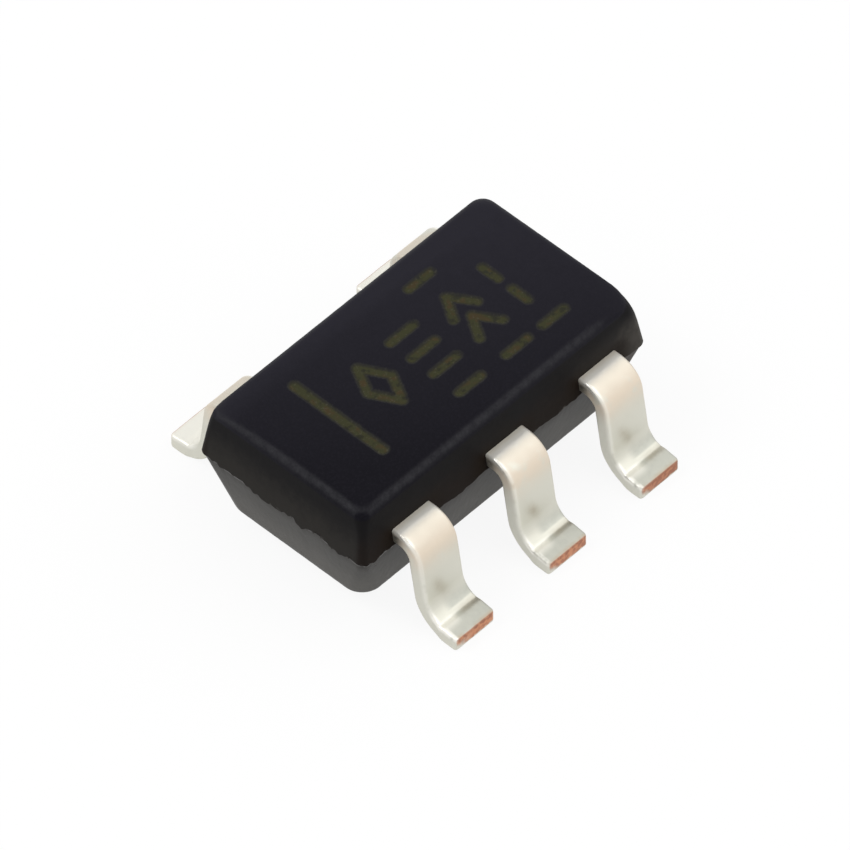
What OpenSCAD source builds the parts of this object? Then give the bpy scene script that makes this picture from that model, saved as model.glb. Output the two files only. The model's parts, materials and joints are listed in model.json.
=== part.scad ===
// DC-DC converter IC in a five-lead small-outline case, in millimetres.
// X runs along the row of three leads, Y across the case, and Z up from the board.
// The origin is on the board, under the middle of the case.

/* [Moulded body] */
// Length of the case at the parting line
case_l = 2.9; // [2.4:0.05:3.6]
// Width of the case at the parting line
case_w = 1.6; // [1.35:0.05:2]
// Height of the flat top above the board
case_top = 1.15; // [1.1:0.01:1.4]
// Height of the parting line
parting_z = 0.67; // [0.6:0.01:0.7]
// Height of the underside of the case above the board
standoff = 0.11; // [0.02:0.01:0.2]
// Lean of the side walls above the parting line, in degrees
draft_top = 7.5; // [3:0.5:12]
// Lean of the side walls below the parting line, in degrees
draft_bottom = 11.5; // [3:0.5:15]
// Radius of the upright corners at the parting line
corner_r = 0.06; // [0.05:0.01:0.2]
// Radius of the upright corners where the walls meet the edge round the top
top_corner_r = 0.08; // [0.08:0.01:0.2]
// Radius of the upright corners where the walls meet the edge round the underside
bottom_corner_r = 0.17; // [0.1:0.01:0.25]
// Radius of the edge round the top
top_edge_r = 0.08; // [0.02:0.005:0.08]
// Radius of the edge round the underside
bottom_edge_r = 0.08; // [0.02:0.005:0.1]

/* [Leads] */
// Distance between neighbouring lead positions
lead_pitch = 0.95; // [0.8:0.01:1.14]
// Height of the underside of the lead frame where it leaves the case
frame_z = 0.7; // [0.68:0.01:0.8]
// Width of a lead
lead_w = 0.38; // [0.28:0.01:0.45]
// Thickness of the sheet that the lead frame is stamped from
sheet_t = 0.12; // [0.1:0.005:0.15]
// How far a lead's tip stands out from the case at the parting line
lead_reach = 0.6; // [0.56:0.01:0.8]
// Level stretch of a lead between the case and its first bend
shoulder_run = 0.04; // [0.02:0.005:0.08]
// Inner radius of the bend below the shoulder
shoulder_r = 0.1; // [0.06:0.005:0.12]
// Inner radius of the bend above the foot
ankle_r = 0.2; // [0.12:0.01:0.22]
// Lean of the shank from upright, in degrees
shank_lean = 8; // [2:1:10]
// Length of the foot's pressed upper face, from its crease to the tip
foot_l = 0.205; // [0.15:0.005:0.22]
// Depth to which the foot is pressed just beyond its crease
coin_depth = 0.014; // [0.005:0.001:0.02]
// How far the pressed foot spreads on each side
foot_spread = 0.008; // [0:0.001:0.015]

/* [Lead frame inside the case] */
// Clearance between neighbouring pieces of the frame
frame_gap = 0.13; // [0.1:0.01:0.15]
// Compound left between a bonding finger and the end of the case
end_wall = 0.17; // [0.12:0.01:0.25]
// Straight stretch of a finger inside the side wall, before it widens
finger_root = 0.19; // [0.15:0.01:0.25]
// Diameter of the hole in a finger that the compound fills and locks
lock_d = 0.11; // [0.08:0.01:0.14]
// How far the die paddle lies below the leads
paddle_drop = 0.15; // [0.08:0.01:0.2]
// Level stretch of the ground lead inside the side wall, where its wires land
neck_flat = 0.16; // [0.12:0.01:0.2]
// Length over which the ground lead steps down to the paddle
neck_run = 0.17; // [0.14:0.01:0.22]
// Width of the support bar on the side without a middle lead
support_w = 0.2; // [0.15:0.01:0.3]
// Length of the support bar left outside the case after trimming
support_stub = 0.03; // [0.01:0.005:0.05]
// Diameter of the half-round notches in the paddle's long edges
notch_d = 0.1; // [0.06:0.01:0.14]

/* [Die] */
// Border of the paddle that is left round the die
die_border = 0.11; // [0.08:0.01:0.2]
// Thickness of the silicon die
die_t = 0.2; // [0.12:0.01:0.22]
// Thickness of the adhesive under the die
glue_t = 0.02; // [0.01:0.005:0.03]
// Width and height of the adhesive's bead round the die
glue_bead = 0.05; // [0.03:0.005:0.07]

/* [Bond wires] */
// Diameter of a bond wire
wire_d = 0.032; // [0.025:0.001:0.04]
// Diameter of the squashed ball on the die
ball_d = 0.085; // [0.06:0.005:0.1]
// Height of the squashed ball
ball_h = 0.022; // [0.015:0.001:0.03]
// Height of a wire's loop above the die
loop_h = 0.11; // [0.08:0.01:0.13]
// Width of the flattened stitch on the lead
stitch_w = 0.055; // [0.04:0.005:0.07]
// Length of the flattened stitch
stitch_l = 0.06; // [0.04:0.005:0.08]
// Distance from the edge of the die to the middle of a bond pad
pad_inset = 0.07; // [0.06:0.005:0.1]
// Spacing of two wires that go to the same lead
wire_step = 0.13; // [0.11:0.01:0.16]

/* [Hidden] */

// Sides of the circles that round the case
case_fn = 32;
// Sides of the circles that become true cylinders
curve_fn = 72;
// Sides of a bond wire, and the number of steps along its loop
wire_sides = 8;
wire_steps = 10;
// Amount by which a cut runs past the face that it opens
over = 0.05;
// Thickness of the slice that marks the parting line
slice = 0.001;

half_l = case_l / 2;
half_w = case_w / 2;
top_inset = (case_top - parting_z) * tan(draft_top);
bottom_inset = (parting_z - standoff) * tan(draft_bottom);

// Shoulder bend, shank and ankle bend, seen along X with Y outwards
shoulder_y = half_w + shoulder_run;
shoulder_z = frame_z - shoulder_r;
shank_l = (shoulder_z + shoulder_r * sin(shank_lean)
    - (ankle_r + sheet_t) * (1 - sin(shank_lean))) / cos(shank_lean);
ankle_y = shoulder_y + (shoulder_r + ankle_r + sheet_t) * cos(shank_lean) + shank_l * sin(shank_lean);
ankle_z = ankle_r + sheet_t;
tip_y = half_w + lead_reach;
crease_y = tip_y - foot_l;
crease_z = ankle_z - sqrt(pow(ankle_r, 2) - pow(ankle_y - crease_y, 2));

// The foot's pressed upper face, seen along X from its crease to the tip
spread_y = crease_y + 4 * coin_depth;
foot_tip_z = sheet_t - 0.4 * coin_depth;
foot_slope = (crease_z - foot_tip_z) / foot_l;
pressed = [
    [crease_y, crease_z],
    [crease_y + coin_depth, crease_z - coin_depth],
    [spread_y, foot_tip_z + foot_slope * (tip_y - spread_y)],
    [tip_y, foot_tip_z],
];

frame_top = frame_z + sheet_t;
finger_x = lead_pitch - lead_w / 2;
finger_end_y = frame_gap / 2;
flare_x = max(half_l - end_wall, lead_pitch + lead_w / 2);
lock_y = half_w - finger_root;

paddle_x = finger_x - frame_gap;
paddle_y = half_w - neck_flat - neck_run;
paddle_z = frame_z - paddle_drop;
paddle_top = paddle_z + sheet_t;
step_angle = atan(paddle_drop / neck_run);

die_x = paddle_x - die_border;
die_y = paddle_y - die_border;
die_z = paddle_top + glue_t;
die_top = die_z + die_t;

// Bond pads on the die, and the places on the leads where the stitches land
pad_x = die_x - pad_inset;
pad_y = die_y - pad_inset;
stitch_y = (half_w - finger_root + finger_end_y) / 2;
neck_stitch_y = half_w - neck_flat / 2;
bonds = [
    ["bond_wire_1a", [-pad_x, -pad_y], [-lead_pitch, -stitch_y - wire_step / 2]],
    ["bond_wire_1b", [-pad_x, -pad_y + wire_step], [-lead_pitch, -stitch_y + wire_step / 2]],
    ["bond_wire_2a", [-wire_step / 2, -pad_y], [-wire_step / 2, -neck_stitch_y]],
    ["bond_wire_2b", [wire_step / 2, -pad_y], [wire_step / 2, -neck_stitch_y]],
    ["bond_wire_3", [pad_x, -pad_y], [lead_pitch, -stitch_y]],
    ["bond_wire_4", [pad_x, pad_y], [lead_pitch, stitch_y]],
    ["bond_wire_5a", [-pad_x, pad_y], [-lead_pitch, stitch_y + wire_step / 2]],
    ["bond_wire_5b", [-pad_x, pad_y - wire_step], [-lead_pitch, stitch_y - wire_step / 2]],
];

// A strip of sheet whose section is drawn in Y and Z, centred on X
module strip(w) {
    rotate([90, 0, 90])
        translate([0, 0, -w / 2])
            linear_extrude(w) children();
}

// A bend of the sheet about the X axis, from one angle through another, measured from +Y to +Z
module bend(w, r, from, turn) {
    rotate([90, 0, 90])
        translate([0, 0, -w / 2])
            rotate([0, 0, from])
                rotate_extrude(angle = turn, $fn = curve_fn)
                    translate([r, 0])
                        square([sheet_t, w]);
}

// The stretch of a lead outside the case: shoulder, shank, ankle and foot, pointing along +Y
module gull_wing() {
    strip(lead_w)
        translate([half_w - finger_root, frame_z])
            square([finger_root + shoulder_run, sheet_t]);
    translate([0, shoulder_y, shoulder_z])
        bend(lead_w, shoulder_r, shank_lean, 90 - shank_lean);
    strip(lead_w)
        translate([shoulder_y, shoulder_z])
            rotate(shank_lean)
                translate([shoulder_r, -shank_l])
                    square([sheet_t, shank_l]);
    difference() {
        translate([0, ankle_y, ankle_z])
            bend(lead_w, ankle_r, 180 + shank_lean, 90 - shank_lean);
        strip(lead_w + 2 * over)
            polygon(concat(pressed, [[tip_y, ankle_z], [crease_y, ankle_z]]));
    }
    foot();
}

// The pressed foot: a dent beyond the crease, a flat that slopes to the tip, and sides that spread
module foot() {
    intersection() {
        strip(lead_w + 2 * foot_spread)
            polygon(concat(pressed, [[tip_y, 0], [ankle_y, 0]]));
        linear_extrude(ankle_z)
            polygon([
                [-lead_w / 2, crease_y - over],
                [-lead_w / 2, crease_y],
                [-lead_w / 2 - foot_spread, spread_y],
                [-lead_w / 2 - foot_spread, tip_y + over],
                [lead_w / 2 + foot_spread, tip_y + over],
                [lead_w / 2 + foot_spread, spread_y],
                [lead_w / 2, crease_y],
                [lead_w / 2, crease_y - over],
            ]);
    }
}

// The bonding finger of a corner lead, inside the case, with +X towards the end of the case
module finger() {
    difference() {
        translate([0, 0, frame_z])
            linear_extrude(sheet_t)
                polygon([
                    [finger_x, finger_end_y],
                    [finger_x, half_w],
                    [finger_x + lead_w, half_w],
                    [finger_x + lead_w, half_w - finger_root],
                    [flare_x, half_w - finger_root],
                    [flare_x, finger_end_y],
                ]);
        translate([lead_pitch, lock_y, frame_z - over])
            cylinder(h = sheet_t + 2 * over, d = lock_d, $fn = curve_fn);
    }
}

// A corner lead on the +X, +Y side
module corner_lead() {
    difference() {
        translate([lead_pitch, 0, 0])
            gull_wing();
        translate([lead_pitch, lock_y, frame_z - over])
            cylinder(h = sheet_t + 2 * over, d = lock_d, $fn = curve_fn);
    }
    finger();
}

// The step between the level of the leads and that of the paddle, pointing along +Y
module neck(w) {
    strip(w)
        polygon([
            [paddle_y - over, paddle_z],
            [paddle_y, paddle_z],
            [paddle_y + neck_run, frame_z],
            [half_w, frame_z],
            [half_w, frame_top],
            [paddle_y + neck_run - sheet_t * tan(step_angle / 2), frame_top],
            [paddle_y - sheet_t * tan(step_angle / 2), paddle_top],
            [paddle_y - over, paddle_top],
        ]);
}

module paddle() {
    translate([0, 0, paddle_z])
        linear_extrude(sheet_t)
            difference() {
                square([2 * paddle_x, 2 * paddle_y], center = true);
                for (x = [-1, 1], y = [-1, 1])
                    translate([x * (paddle_x + lead_w / 2) / 2, y * paddle_y])
                        circle(d = notch_d, $fn = curve_fn);
            }
}

module support_bar() {
    neck(support_w);
    translate([-support_w / 2, half_w, frame_z])
        cube([support_w, support_stub, sheet_t]);
}

// The outer form of the compound, widest at the parting line
module case_form() {
    hull()
        for (x = [-1, 1], y = [-1, 1]) {
            translate([x * (half_l - corner_r), y * (half_w - corner_r), parting_z])
                cylinder(h = slice, r = corner_r, $fn = case_fn);
            case_corner(x, y, top_inset, top_corner_r, top_edge_r, case_top - top_edge_r, draft_top);
            case_corner(x, y, bottom_inset, bottom_corner_r, bottom_edge_r, standoff + bottom_edge_r, draft_bottom);
        }
}

// A round that ends one corner of the top or the underside, touching both of its leaning walls
module case_corner(x, y, inset, corner, r, z, draft) {
    off = inset + corner - r + r * (1 - sin(draft)) / cos(draft);
    translate([x * (half_l - off), y * (half_w - off), z])
        rotate_extrude($fn = case_fn)
            intersection() {
                translate([corner - r, 0])
                    circle(r, $fn = case_fn);
                translate([0, -r])
                    square([corner, 2 * r]);
            }
}

module die_form() {
    translate([-die_x, -die_y, die_z])
        cube([2 * die_x, 2 * die_y, die_t]);
}

// The adhesive's layer and the bead that climbs the die's sides
module glue_form() {
    hull() {
        translate([-die_x - glue_bead, -die_y - glue_bead, paddle_top])
            cube([2 * (die_x + glue_bead), 2 * (die_y + glue_bead), glue_t]);
        translate([-die_x, -die_y, paddle_top])
            cube([2 * die_x, 2 * die_y, glue_t + glue_bead]);
    }
}

function cubic(p, t) =
    pow(1 - t, 3) * p[0] + 3 * t * pow(1 - t, 2) * p[1] + 3 * pow(t, 2) * (1 - t) * p[2] + pow(t, 3) * p[3];

function cubic_slope(p, t) =
    pow(1 - t, 2) * (p[1] - p[0]) + 2 * t * (1 - t) * (p[2] - p[1]) + pow(t, 2) * (p[3] - p[2]);

// One ring of a wire in the upright plane of its loop: its place along the span and height,
// the heading of the wire, and its half width and half height
function ring(place, heading, half_width, half_height) = [
    for (i = [0:wire_sides - 1])
        let (a = 360 * (i + 0.5) / wire_sides)
            [
                place[0] - half_height * sin(a) * sin(heading),
                half_width * cos(a),
                place[1] + half_height * sin(a) * cos(heading),
            ]
];

// Rings from the foot of the ball, over the loop, to the end of the stitch
function wire_rings(span) =
    let (
        r = wire_d / 2,
        flat = cos(180 / wire_sides),
        stitch_h = wire_d / 4,
        rise = die_top + ball_h,
        path = [
            [0, rise + wire_d],
            [0, die_top + 1.3 * loop_h],
            [0.4 * span, die_top + 1.3 * loop_h],
            [span - stitch_l, frame_top + wire_d],
        ]
    )
        concat(
            [
                ring([0, die_top], 90, 0.9 * ball_d / 2, 0.9 * ball_d / 2),
                ring([0, die_top + ball_h / 3], 90, ball_d / 2, ball_d / 2),
                ring([0, die_top + 2 * ball_h / 3], 90, ball_d / 2, ball_d / 2),
                ring([0, rise], 90, 0.8 * ball_d / 2, 0.8 * ball_d / 2),
                ring([0, rise + wire_d / 3], 90, r, r),
            ],
            [
                for (i = [0:wire_steps])
                    let (t = i / wire_steps, slope = cubic_slope(path, t))
                        ring(cubic(path, t), atan2(slope[1], slope[0]), r, r)
            ],
            [
                ring([span - stitch_l / 3, frame_top + stitch_h * flat], 0, stitch_w / 2, stitch_h),
                ring([span, frame_top + stitch_h * flat / 2], 0, 0.8 * stitch_w / 2, stitch_h / 2),
            ]
        );

// A ball bond on the die, a loop and a stitch on the lead, from the pad to the landing place
module bond_wire(pad, land) {
    across = land - pad;
    rings = wire_rings(norm(across));
    last = len(rings) - 1;
    translate([pad[0], pad[1], 0])
        rotate([0, 0, atan2(across[1], across[0])])
            polyhedron(
                points = [for (r = rings) each r],
                faces = concat(
                    [[for (i = [0:wire_sides - 1]) i]],
                    [
                        for (k = [0:last - 1], i = [0:wire_sides - 1], half = [0, 1])
                            let (
                                a = k * wire_sides + i,
                                b = k * wire_sides + (i + 1) % wire_sides
                            )
                                half == 0
                                    ? [a, a + wire_sides, b + wire_sides]
                                    : [a, b + wire_sides, b]
                    ],
                    [[for (i = [wire_sides - 1:-1:0]) last * wire_sides + i]]
                )
            );
}

module lead_1() {
    color("gainsboro")
        mirror([1, 0, 0]) mirror([0, 1, 0])
            corner_lead();
}

module lead_3() {
    color("gainsboro")
        mirror([0, 1, 0])
            corner_lead();
}

module lead_4() {
    color("gainsboro")
        corner_lead();
}

module lead_5() {
    color("gainsboro")
        mirror([1, 0, 0])
            corner_lead();
}

// The ground lead, the paddle that carries the die, and the support bar are one piece of sheet
module lead_2_with_paddle() {
    color("gainsboro") {
        mirror([0, 1, 0]) {
            gull_wing();
            neck(lead_w);
        }
        paddle();
        support_bar();
    }
}

module die_attach() {
    color("silver")
        difference() {
            glue_form();
            die_form();
        }
}

module die() {
    color("slategray")
        die_form();
}

// The compound, moulded round everything that it holds
module moulded_case() {
    color([0.14, 0.14, 0.16])
        difference() {
            case_form();
            for (x = [0, 1], y = [0, 1])
                mirror([x, 0, 0]) mirror([0, y, 0])
                    finger();
            mirror([0, 1, 0])
                neck(lead_w);
            neck(support_w);
            paddle();
            glue_form();
            die_form();
            for (bond = bonds)
                bond_wire(bond[1], bond[2]);
        }
}

moulded_case();
lead_1();
lead_2_with_paddle();
lead_3();
lead_4();
lead_5();
die_attach();
die();
for (bond = bonds)
    color("gold") bond_wire(bond[1], bond[2]);
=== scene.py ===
"""Looks of a five-lead small-outline dc-dc converter chip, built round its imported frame.

The frame gives each piece its place. The moulded body, the formed leads and the bond wires
are remade here with their rounded edges, tool marks and laser marking, and the die and its
adhesive keep their frame meshes. Lengths are in millimetres until a mesh is finished.
"""

from __future__ import annotations

import json
import logging
import math
from contextlib import contextmanager
from dataclasses import dataclass, field
from enum import Enum
from typing import Any, Iterator, Mapping, Sequence

import bmesh
import bpy
import numpy as np
from mathutils import Matrix, Vector
from mathutils.geometry import tessellate_polygon

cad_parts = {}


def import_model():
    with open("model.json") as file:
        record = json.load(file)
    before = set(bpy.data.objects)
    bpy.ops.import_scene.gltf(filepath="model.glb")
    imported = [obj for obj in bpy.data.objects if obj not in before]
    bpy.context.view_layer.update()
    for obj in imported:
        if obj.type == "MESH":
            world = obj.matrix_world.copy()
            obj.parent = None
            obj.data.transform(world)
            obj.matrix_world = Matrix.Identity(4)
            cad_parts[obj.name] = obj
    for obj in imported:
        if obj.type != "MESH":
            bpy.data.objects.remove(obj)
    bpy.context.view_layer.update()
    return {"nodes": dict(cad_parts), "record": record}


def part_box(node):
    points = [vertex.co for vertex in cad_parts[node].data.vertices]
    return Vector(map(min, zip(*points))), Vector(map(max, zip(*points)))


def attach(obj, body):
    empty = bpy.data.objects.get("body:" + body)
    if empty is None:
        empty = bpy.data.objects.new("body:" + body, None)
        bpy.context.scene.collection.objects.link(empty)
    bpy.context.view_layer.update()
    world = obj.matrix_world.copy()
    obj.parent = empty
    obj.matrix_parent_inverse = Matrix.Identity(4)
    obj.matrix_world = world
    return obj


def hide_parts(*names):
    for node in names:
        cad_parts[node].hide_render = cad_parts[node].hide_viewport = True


LOG = logging.getLogger("converter_chip")
MM = 0.001
BODY = "root"
# How far the frame's pressed foot is wider than its lead, on each side
FOOT_SPREAD = 0.008
# Heights that differ by less than this are one level
SAME_LEVEL = 0.0004
# How far a pocket reaches down into the pocket of the piece below it
POCKET_REACH = 0.01
# Distance, in metres, at which points of a frame mesh are one point
SAME_POINT = 1e-8
# Names of the socket kinds that hold each kind of value; a number goes in a Float
SOCKET_KINDS = {tuple: "Vector", bpy.types.Object: "Object", bpy.types.Material: "Material"}
Colour = tuple[float, float, float]
Point = tuple[float, float]


class Side(Enum):
    """The long side of the body that a lead comes out of, as the sign of its Y."""

    NEAR = -1
    FAR = 1


class Slot(Enum):
    """The record's material slots."""

    COMPOUND = "mould_compound"
    LEAD = "tinned_lead"
    ADHESIVE = "die_adhesive"
    SILICON = "silicon"
    WIRE = "wire_metal"


class Cut(Enum):
    """How one solid is combined with another."""

    ADD = "UNION"
    REMOVE = "DIFFERENCE"


class Term:
    """One output of a node, on which Python's operators add the nodes for its maths."""

    def __init__(self, graph: "Graph", socket: bpy.types.NodeSocket) -> None:
        """Keeps the graph that the socket belongs to."""
        self.graph = graph
        self.socket = socket

    @property
    def is_vector(self) -> bool:
        """Whether the socket carries three numbers."""
        return self.socket.type in {"VECTOR", "RGBA"}

    def _apply(self, operation: str, *operands: Any) -> "Term":
        """Adds a Math or a Vector Math node.

        Args:
            operation: The node's operation.
            *operands: Its inputs in order, as terms, numbers or vectors.

        Returns:
            The node's result.
        """
        wide = any(isinstance(o, tuple) or isinstance(o, Term) and o.is_vector for o in operands)
        if not wide:
            return self.graph.add("ShaderNodeMath", {"operation": operation}, dict(enumerate(operands)))
        operands = tuple((o,) * 3 if isinstance(o, (int, float)) else o for o in operands)
        return self.graph.add("ShaderNodeVectorMath", {"operation": operation}, dict(enumerate(operands)))

    def __add__(self, other: Any) -> "Term":
        """Sum."""
        return self._apply("ADD", self, other)

    def __radd__(self, other: Any) -> "Term":
        """Sum, with the term on the right."""
        return self._apply("ADD", other, self)

    def __sub__(self, other: Any) -> "Term":
        """Difference."""
        return self._apply("SUBTRACT", self, other)

    def __rsub__(self, other: Any) -> "Term":
        """Difference, with the term on the right."""
        return self._apply("SUBTRACT", other, self)

    def __mul__(self, other: Any) -> "Term":
        """Product."""
        return self._apply("MULTIPLY", self, other)

    def __rmul__(self, other: Any) -> "Term":
        """Product, with the term on the right."""
        return self._apply("MULTIPLY", other, self)

    def __truediv__(self, other: Any) -> "Term":
        """Quotient."""
        return self._apply("DIVIDE", self, other)

    def __gt__(self, other: Any) -> "Term":
        """1 where the term is greater, else 0."""
        return self._apply("GREATER_THAN", self, other)

    def __lt__(self, other: Any) -> "Term":
        """1 where the term is smaller, else 0."""
        return self._apply("LESS_THAN", self, other)

    def squared(self) -> "Term":
        """Square."""
        return self * self

    def root(self) -> "Term":
        """Square root, taken as 0 below 0."""
        return self._apply("SQRT", self.at_least(0.0))

    def size(self) -> "Term":
        """Size without its sign."""
        return self._apply("ABSOLUTE", self)

    def at_least(self, other: Any) -> "Term":
        """The greater of two."""
        return self._apply("MAXIMUM", self, other)

    def at_most(self, other: Any) -> "Term":
        """The smaller of two."""
        return self._apply("MINIMUM", self, other)

    def sine(self) -> "Term":
        """Sine of an angle in radians."""
        return self._apply("SINE", self)

    def cosine(self) -> "Term":
        """Cosine of an angle in radians."""
        return self._apply("COSINE", self)

    def bell(self, middle: Any, width: float) -> "Term":
        """A smooth bump of height 1 about a middle value.

        Args:
            middle: Where the bump is highest.
            width: Distance at which it has fallen to about a third.

        Returns:
            The bump's height.
        """
        away = ((self - middle) / width).squared()
        return self._apply("EXPONENT", away * -1.0)

    def rise(self, low: Any, high: Any) -> "Term":
        """Smooth step from 0 to 1, or from 1 to 0 where low is above high.

        Args:
            low: Value at which the result is 0.
            high: Value at which it is 1.

        Returns:
            The step.
        """
        settings = {"interpolation_type": "SMOOTHSTEP", "clamp": True}
        return self.graph.add("ShaderNodeMapRange", settings, {0: self, 1: low, 2: high})

    def axes(self) -> tuple["Term", "Term", "Term"]:
        """The X, Y and Z parts of a vector."""
        node = self.graph.add("ShaderNodeSeparateXYZ", {}, {0: self}).socket.node
        return tuple(Term(self.graph, out) for out in node.outputs)


class Graph:
    """Adds nodes to one shading or geometry tree."""

    def __init__(self, tree: bpy.types.NodeTree) -> None:
        """Keeps the tree."""
        self.tree = tree

    def add(
        self,
        kind: str,
        settings: Mapping[str, Any] | None = None,
        sockets: Mapping[Any, Any] | None = None,
        out: int | str = 0,
    ) -> Term:
        """Adds any node.

        Args:
            kind: The node's type.
            settings: Its properties, such as a Math node's operation, set first.
            sockets: Values or links of its inputs, by place, identifier or name.
            out: The output that is wanted, by place, identifier or name.

        Returns:
            That output.
        """
        node = self.tree.nodes.new(kind)
        for name, value in (settings or {}).items():
            setattr(node, name, value)
        for key, value in (sockets or {}).items():
            self.feed(self._find(node.inputs, key), value)
        return Term(self, self._find(node.outputs, out))

    @staticmethod
    def _find(sockets: Sequence[bpy.types.NodeSocket], key: int | str) -> bpy.types.NodeSocket:
        """Finds a socket.

        Args:
            sockets: The sockets to look through.
            key: Its place, or its identifier, or else its name.

        Returns:
            The socket.
        """
        if isinstance(key, int):
            return sockets[key]
        for socket in sockets:
            if socket.identifier == key:
                return socket
        return next(socket for socket in sockets if socket.name == key)

    def feed(self, socket: bpy.types.NodeSocket, value: Any) -> None:
        """Links an input or sets its own value.

        Args:
            socket: The input.
            value: A term or a list of terms to link, or else the input's own value.
        """
        if isinstance(value, list):
            for each in value:
                self.feed(socket, each)
        elif isinstance(value, Term):
            self.tree.links.new(value.socket, socket)
        elif socket.type == "RGBA" and len(value) == 3:
            socket.default_value = (*value, 1.0)
        else:
            socket.default_value = value

    def mix(self, factor: Any, first: Any, second: Any) -> Term:
        """Blends two colours.

        Args:
            factor: Share of the second.
            first: The colour where the factor is 0.
            second: The colour where the factor is 1.

        Returns:
            The blended colour.
        """
        sockets = {"Factor_Float": factor, "A_Color": first, "B_Color": second}
        return self.add("ShaderNodeMix", {"data_type": "RGBA"}, sockets, "Result_Color")

    def paint(self, base: Any, *layers: tuple[Any, Any]) -> Term:
        """Lays colours one over the other.

        Args:
            base: The colour below.
            *layers: For each layer, the share of it that shows and its colour.

        Returns:
            The painted colour.
        """
        for factor, colour in layers:
            base = self.mix(factor, base, colour)
        return base

    def noise(
        self, place: Term, scale: float, detail: float = 2.0, out: str = "Fac", seed: Any = 0.0
    ) -> Term:
        """Noise over a place.

        Args:
            place: Where it is read.
            scale: Number of waves in one unit of the place.
            detail: Number of finer layers.
            out: "Fac" for one number or "Color" for three.
            seed: Changes the pattern.

        Returns:
            The noise, about 0.5 in the middle.
        """
        sockets = {"Vector": place, "W": seed, "Scale": scale, "Detail": detail}
        return self.add("ShaderNodeTexNoise", {"noise_dimensions": "4D"}, sockets, out)

    def vector(self, x: Any, y: Any, z: Any) -> Term:
        """Three numbers as one vector."""
        return self.add("ShaderNodeCombineXYZ", {}, {0: x, 1: y, 2: z})


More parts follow.
